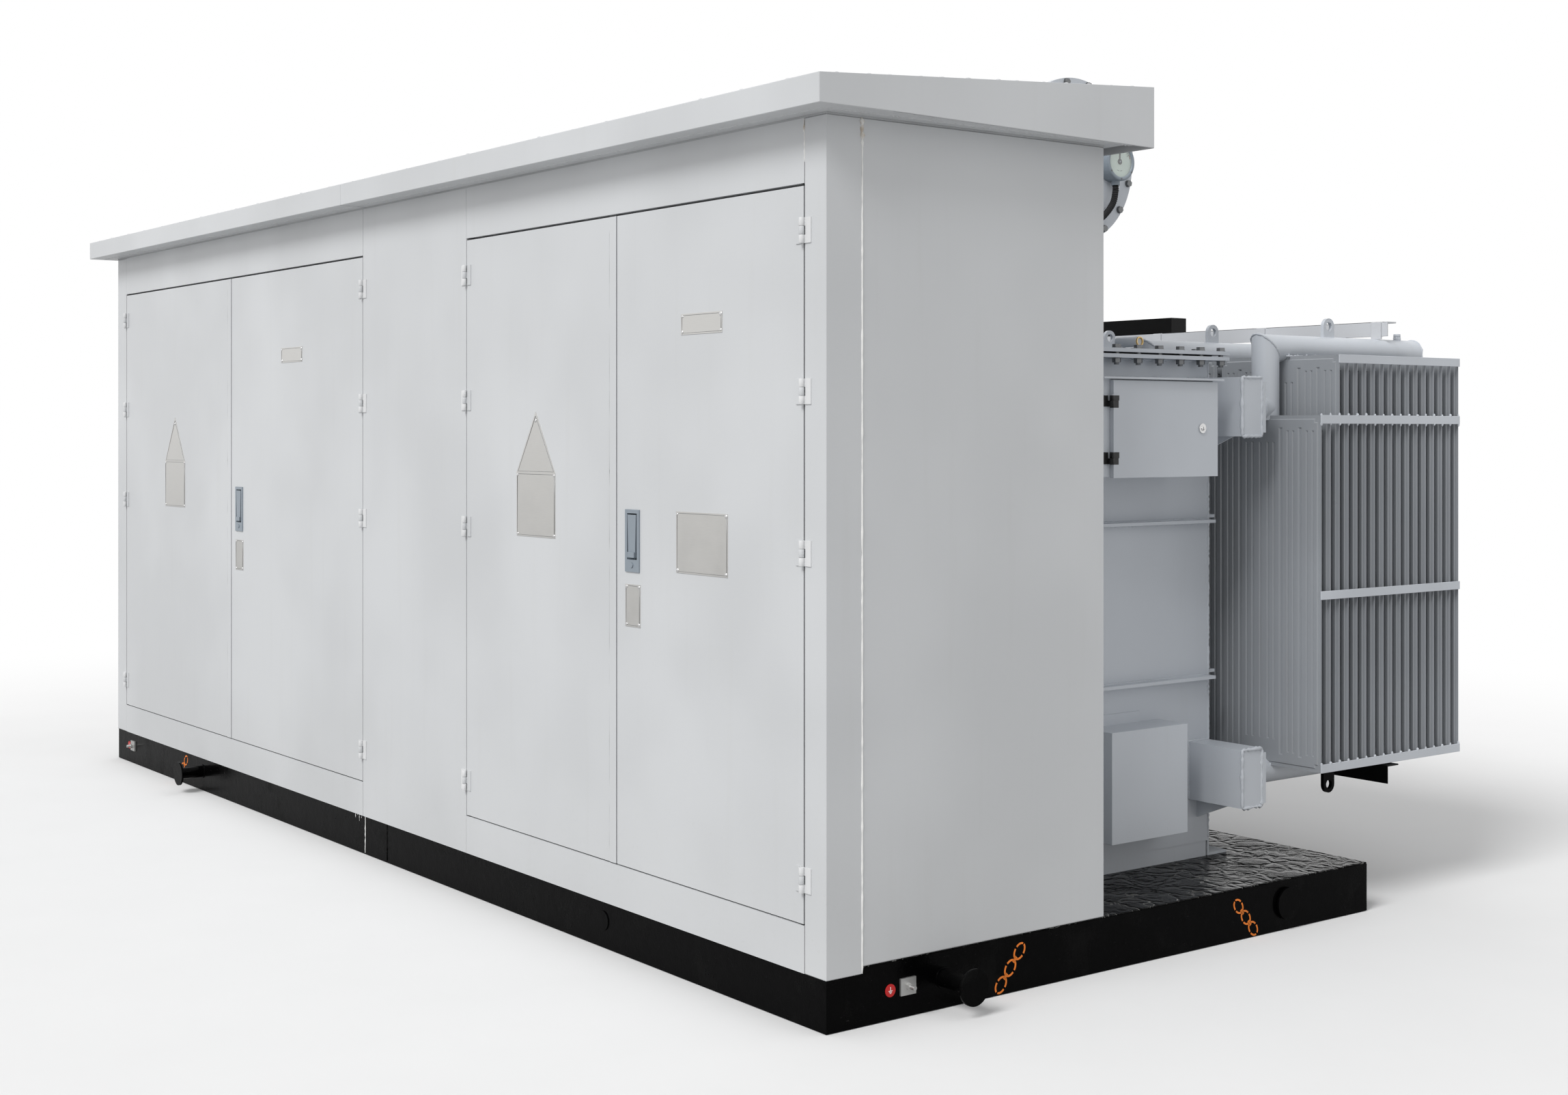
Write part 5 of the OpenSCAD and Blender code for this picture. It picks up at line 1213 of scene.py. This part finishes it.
lumpy = lumps("roof_tacks", tacks, (0.008, 0.008, 0.0022), seed=7)
add(lumpy, enclosure_paint, smooth=60)
print("eave seal faces", len(knurl.data.polygons), "and", len(tacks), "tacks")


# %% [markdown]
# ## Plates on the doors
# Every plate is bare metal. A pressed line runs round it, a little in from the edge; it is drawn as a thin
# dark line in the dark steel coat, which is painted shade along the pressed line.

# %% Pressed borders, drawn as painted shade
PLATES = {
    "lv_right_door": [
        (1.7935, 0.964, 0.080, 0.123), (2.1445, 1.134, 0.250, 0.172), (2.1435, 1.800, 0.200, 0.058)
    ],
    "hv_right_door": [(-1.1985, 0.964, 0.080, 0.123), (-0.6675, 1.800, 0.200, 0.058)],
}
SIGNS = {"lv_left_door": 1.230, "hv_left_door": -1.942}
PLATE_Y = -1.1015
IN = 0.0045
SLANT_IN = 0.005
SIGN_HALF = 0.120
SIGN_LOW, SIGN_MID, SIGN_TOP = 1.201, 1.401, 1.592


def outline(points):
    return [(x, PLATE_Y, z) for x, z in (*points, points[0])]


def rectangle(u0, v0, u1, v1):
    return [(u0, v0), (u1, v0), (u1, v1), (u0, v1)]


def painted_shade_border(body, lines, radius):
    """Thin dark line on a door's plates: painted shade along the pressed line."""
    name = f"{body}_plate_borders"
    laid(name, lines, radius, dark_steel_and_line_shade, "plate_aluminium", body=body, step=0.5, wobble=0.0)


for body, plates in PLATES.items():
    lines = []
    for x, z, wide, tall in plates:
        half = wide / 2 - IN
        lines.append(outline(rectangle(x - half, z + IN, x + half, z + tall - IN)))
    painted_shade_border(body, lines, 0.0009)
for body, x in SIGNS.items():
    half = SIGN_HALF - IN
    slant = half - SLANT_IN
    peak = [(x - slant, SIGN_MID + IN), (x + slant, SIGN_MID + IN), (x, SIGN_TOP - 3 * IN)]
    lines = [outline(rectangle(x - half, SIGN_LOW + IN, x + half, SIGN_MID - IN)), outline(peak)]
    painted_shade_border(body, lines, 0.0011)
print("plate borders on", len(PLATES) + len(SIGNS), "doors")


# %% [markdown]
# Polished rivets hold the plates: one in each corner, and one at the peak of each three-sided plate. A rivet
# head is a low dome, so it is a squashed ball with its back half sunk in the plate.

# %% Rivet heads
RIVET_IN = 0.007
RIVET = (0.0052, 0.0024, 0.0052)


def corners(x, wide, low_z, high_z):
    half = wide / 2 - RIVET_IN
    return [(x + side * half, PLATE_Y, z) for side in (-1, 1) for z in (low_z + RIVET_IN, high_z - RIVET_IN)]


heads = {body: [] for body in (*PLATES, *SIGNS)}
for body, plates in PLATES.items():
    for x, z, wide, tall in plates:
        heads[body] += corners(x, wide, z, z + tall)
for body, x in SIGNS.items():
    heads[body] += [*corners(x, 2 * SIGN_HALF, SIGN_LOW, SIGN_MID), (x, PLATE_Y, SIGN_TOP - 4 * RIVET_IN)]
for body, places in heads.items():
    domes = lumps(f"{body}_plate_rivets", places, RIVET, seed=9, sides=14, rings=8)
    add(domes, chrome, body=body, smooth=60)
print("rivet heads", sum(len(places) for places in heads.values()))


# %% [markdown]
# ## Closing strips
# The left door of each pair carries the strip that its neighbour closes against. A fine dark grey line down
# the strip's left edge is painted shadow, where the strip's step casts a little shade.

# %% Painted shadow lines
STRIP_EDGES = {"lv_left_door": 1.6665, "hv_left_door": -1.3255}
strip_low, strip_high = (corner.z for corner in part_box("door_lv_left"))
# Each line is painted shadow along the strip's step, not a material of its own.
for body, x in STRIP_EDGES.items():
    line = [[(x, FRONT - 0.0002, strip_low + 0.002), (x, FRONT - 0.0002, strip_high - 0.002)]]
    shadow_bead = bead(f"{body}_strip_line", line, 0.0016, step=0.05, wobble=0.2, seed=51)
    add(shadow_bead, strip_edge_shade, body=body)
print("filler lines on", len(STRIP_EDGES), "doors")


# %% [markdown]
# ## Marks on the skid
# Chains are stencilled in orange at each lifting point: three open links on a slant. A stencil has bridges,
# so each link is broken in four places, and a short bar joins it to the next one. The red disc beside an
# earth bolt carries the white earth symbol. Each mark is a thin skin of paint that stands half a millimetre
# off the steel.

# %% Stencilled chains
orange = plain("stencil_orange", (0.80, 0.20, 0.012), 0.5, grain=0.003, vary=0.25)
white_ink = plain("marking_white", (0.85, 0.85, 0.85), 0.5)
SKID_END = 2.697
SKID_FRONT = -1.097
SKIN = 0.0005
LINK_LONG = 0.0235
LINK_WIDE = 0.0165
STROKE = 0.0055
BRIDGE_LONG = 0.009
BRIDGE_HALF = 0.0045
ARCS = ((12, 82), (98, 172), (188, 262), (278, 352))


def flat_skin(name, outline_2d, place):
    """Thin solid with this outline; place turns (u, v, depth) into a point."""
    mesh = bpy.data.meshes.new(name)
    count = len(outline_2d)
    front = [place(u, v, SKIN) for u, v in outline_2d]
    back = [place(u, v, -SKIN) for u, v in outline_2d]
    faces = [tuple(range(count)), tuple(reversed(range(count, 2 * count)))]
    faces += [(i, i + count, (i + 1) % count + count, (i + 1) % count) for i in range(count)]
    mesh.from_pydata(front + back, [], faces)
    obj = linked(name, mesh)
    only(obj)
    bpy.ops.object.mode_set(mode="EDIT")
    bpy.ops.mesh.select_all(action="SELECT")
    bpy.ops.mesh.normals_make_consistent(inside=False)
    bpy.ops.object.mode_set(mode="OBJECT")
    return obj


def swung(u, v, turn, along, across):
    """The point along and across from (u, v), with both ways turned by turn radians."""
    return (
        u + along * math.cos(turn) - across * math.sin(turn),
        v + along * math.sin(turn) + across * math.cos(turn),
    )


def link_arc(u, v, turn, start, end, place):
    """Part of an oval ring, from start to end degrees, with its long way turned by turn radians."""
    inner, outer = [], []
    for k in range(11):
        angle = math.radians(start + (end - start) * k / 10)
        for ring, sign in ((outer, 1), (inner, -1)):
            along = (LINK_LONG + sign * STROKE / 2) * math.cos(angle)
            across = (LINK_WIDE + sign * STROKE / 2) * math.sin(angle)
            ring.append(swung(u, v, turn, along, across))
    return flat_skin("arc", outer + inner[::-1], place)


def chain(name, start, end, place):
    """Three links between two points of the steel's face."""
    (u0, v0), (u1, v1) = start, end
    turn = math.atan2(v1 - v0, u1 - u0)
    ends = rectangle(-BRIDGE_LONG, -BRIDGE_HALF, BRIDGE_LONG, BRIDGE_HALF)
    made = []
    for k in range(3):
        t = (k + 0.5) / 3
        u, v = u0 + (u1 - u0) * t, v0 + (v1 - v0) * t
        made += [link_arc(u, v, turn, a, b, place) for a, b in ARCS]
        if k:
            u, v = u0 + (u1 - u0) * k / 3, v0 + (v1 - v0) * k / 3
            made.append(flat_skin("bridge", [swung(u, v, turn, *end) for end in ends], place))
    return add(joined(name, made), orange)


def on_end(u, v, depth):
    return (SKID_END + depth, u, v)


def on_front(u, v, depth):
    return (u, SKID_FRONT - depth, v)


chain("chain_right_front", (-0.408, 0.128), (-0.512, 0.006), on_end)
chain("chain_right_rear", (0.462, 0.120), (0.562, 0.006), on_end)
chain("chain_front", (-1.800, 0.118), (-1.915, 0.012), on_front)
print("chains stencilled")


# %% Earth symbols
SYMBOL = 0.0095
LINE_HALF = 0.09 * SYMBOL
DISC_T = 0.0015


def earth_symbol(name, u, v, place):
    stem = rectangle(u - LINE_HALF, v - SYMBOL * 0.1, u + LINE_HALF, v + SYMBOL)
    made = [flat_skin("stem", stem, place)]
    for k, share in enumerate((0.72, 0.48, 0.24)):
        half, z = SYMBOL * share, v - SYMBOL * (0.1 + 0.33 * k)
        line = rectangle(u - half, z - LINE_HALF, u + half, z + LINE_HALF)
        made.append(flat_skin("bar", line, place))
    return add(joined(name, made), white_ink)


earth_symbol("earth_symbol_side", -0.886, 0.077, lambda u, v, depth: on_end(u, v, depth + DISC_T))
earth_symbol("earth_symbol_front", -2.548, 0.077, lambda u, v, depth: on_front(u, v, depth + DISC_T))
print("marks on the skid made")


# %% [markdown]
# ## Seams of the skid
# The skid is made in two halves. White sealant was drawn down the joint at the middle and dripped beside it.
# Further on, a low weld runs down the channel under the black coat.

# %% Skid seams
DRIPS = ((-0.094, 0.118), (-0.079, 0.131), (-0.062, 0.112), (-0.044, 0.126), (0.165, 0.139))
WHITE = {"coat": sealant, "slot": "enclosure_paint"}
seam = [[(-0.0115, SKID_FRONT, 0.152), (-0.0105, SKID_FRONT, 0.07), (-0.0125, SKID_FRONT, 0.004)]]
drips = [[(x, SKID_FRONT, 0.150), (x + 0.001, SKID_FRONT, low)] for x, low in DRIPS]
laid("skid_seam", seam, 0.0017, **WHITE, wobble=0.5, seed=41)
laid("skid_drips", drips, 0.0011, **WHITE, step=0.008, wobble=0.6, seed=42)
dull = [[(0.168, SKID_FRONT, 0.150), (0.168, SKID_FRONT, 0.004)]]
laid("skid_weld", dull, 0.0022, skid_paint, "black_paint", step=0.009, wobble=0.35, seed=43)
print("skid seams made")


# %% [markdown]
# ## Floor and light
# The substation stands on a plain pale floor under an even sky. The floor turns into pure white away from the
# object only where the camera looks at it, so that it still gives soft light and keeps the shadow.

# %% Floor
clear()
bpy.ops.mesh.primitive_circle_add(vertices=96, radius=40, fill_type="NGON", location=(0, 0, -0.002))
floor = bpy.context.object
floor.name = "floor"
ground = Finish("floor_paint", Roughness=0.9)
far = ground.start.node("ShaderNodeVectorMath", {"operation": "LENGTH"}, {0: ground.place}, output=1)
white = ground.start.node("ShaderNodeEmission", None, {"Color": (1, 1, 1, 1), "Strength": 1.0})
rays = ground.start.node("ShaderNodeLightPath", None, None)
seen = Wire(ground.tree, rays.socket.node.outputs["Is Camera Ray"])
tone = ground.noise(0.4, 3.0).mix((0.80, 0.80, 0.80), (0.83, 0.83, 0.83))
ground.shade(seen.mix((0.50, 0.50, 0.50), tone))
both = ground.start.node(
    "ShaderNodeMixShader",
    None,
    {0: seen * far.step(3.2, 7.5), 1: Wire(ground.tree, ground.shader.outputs[0]), 2: white},
)
ground.tree.links.new(both.socket, ground.tree.nodes["Material Output"].inputs["Surface"])
floor.data.materials.append(ground.material)
print("floor", floor.name)


# %% Sky and sun
world = bpy.data.worlds.new("sky")
world.use_nodes = True
bpy.context.scene.world = world
sky_tree = world.node_tree
sky = Wire(sky_tree)
back = sky_tree.nodes["Background"]
back.inputs["Color"].default_value = (1, 1, 1, 1)
path = sky.node("ShaderNodeLightPath").socket.node
RAYS = ("Is Camera Ray", "Is Glossy Ray", "Is Transmission Ray")
shown = [Wire(sky_tree, path.outputs[name]) for name in RAYS]
visible = shown[0].math("ADD", shown[0], shown[1] + shown[2], clamp=True)
SKY = 0.66
sky_tree.links.new((SKY + visible * (1 - SKY)).socket, back.inputs["Strength"])
sun_data = bpy.data.lights.new("sun", "SUN")
sun_data.energy = 1.95
sun_data.angle = math.radians(24)
sun = linked("sun", sun_data)
to_sun = Vector((0.20, -0.72, 0.72))
sun.rotation_euler = to_sun.to_track_quat("Z", "Y").to_euler()
bpy.context.scene.view_settings.view_transform = "Standard"
print("sun from", tuple(to_sun))
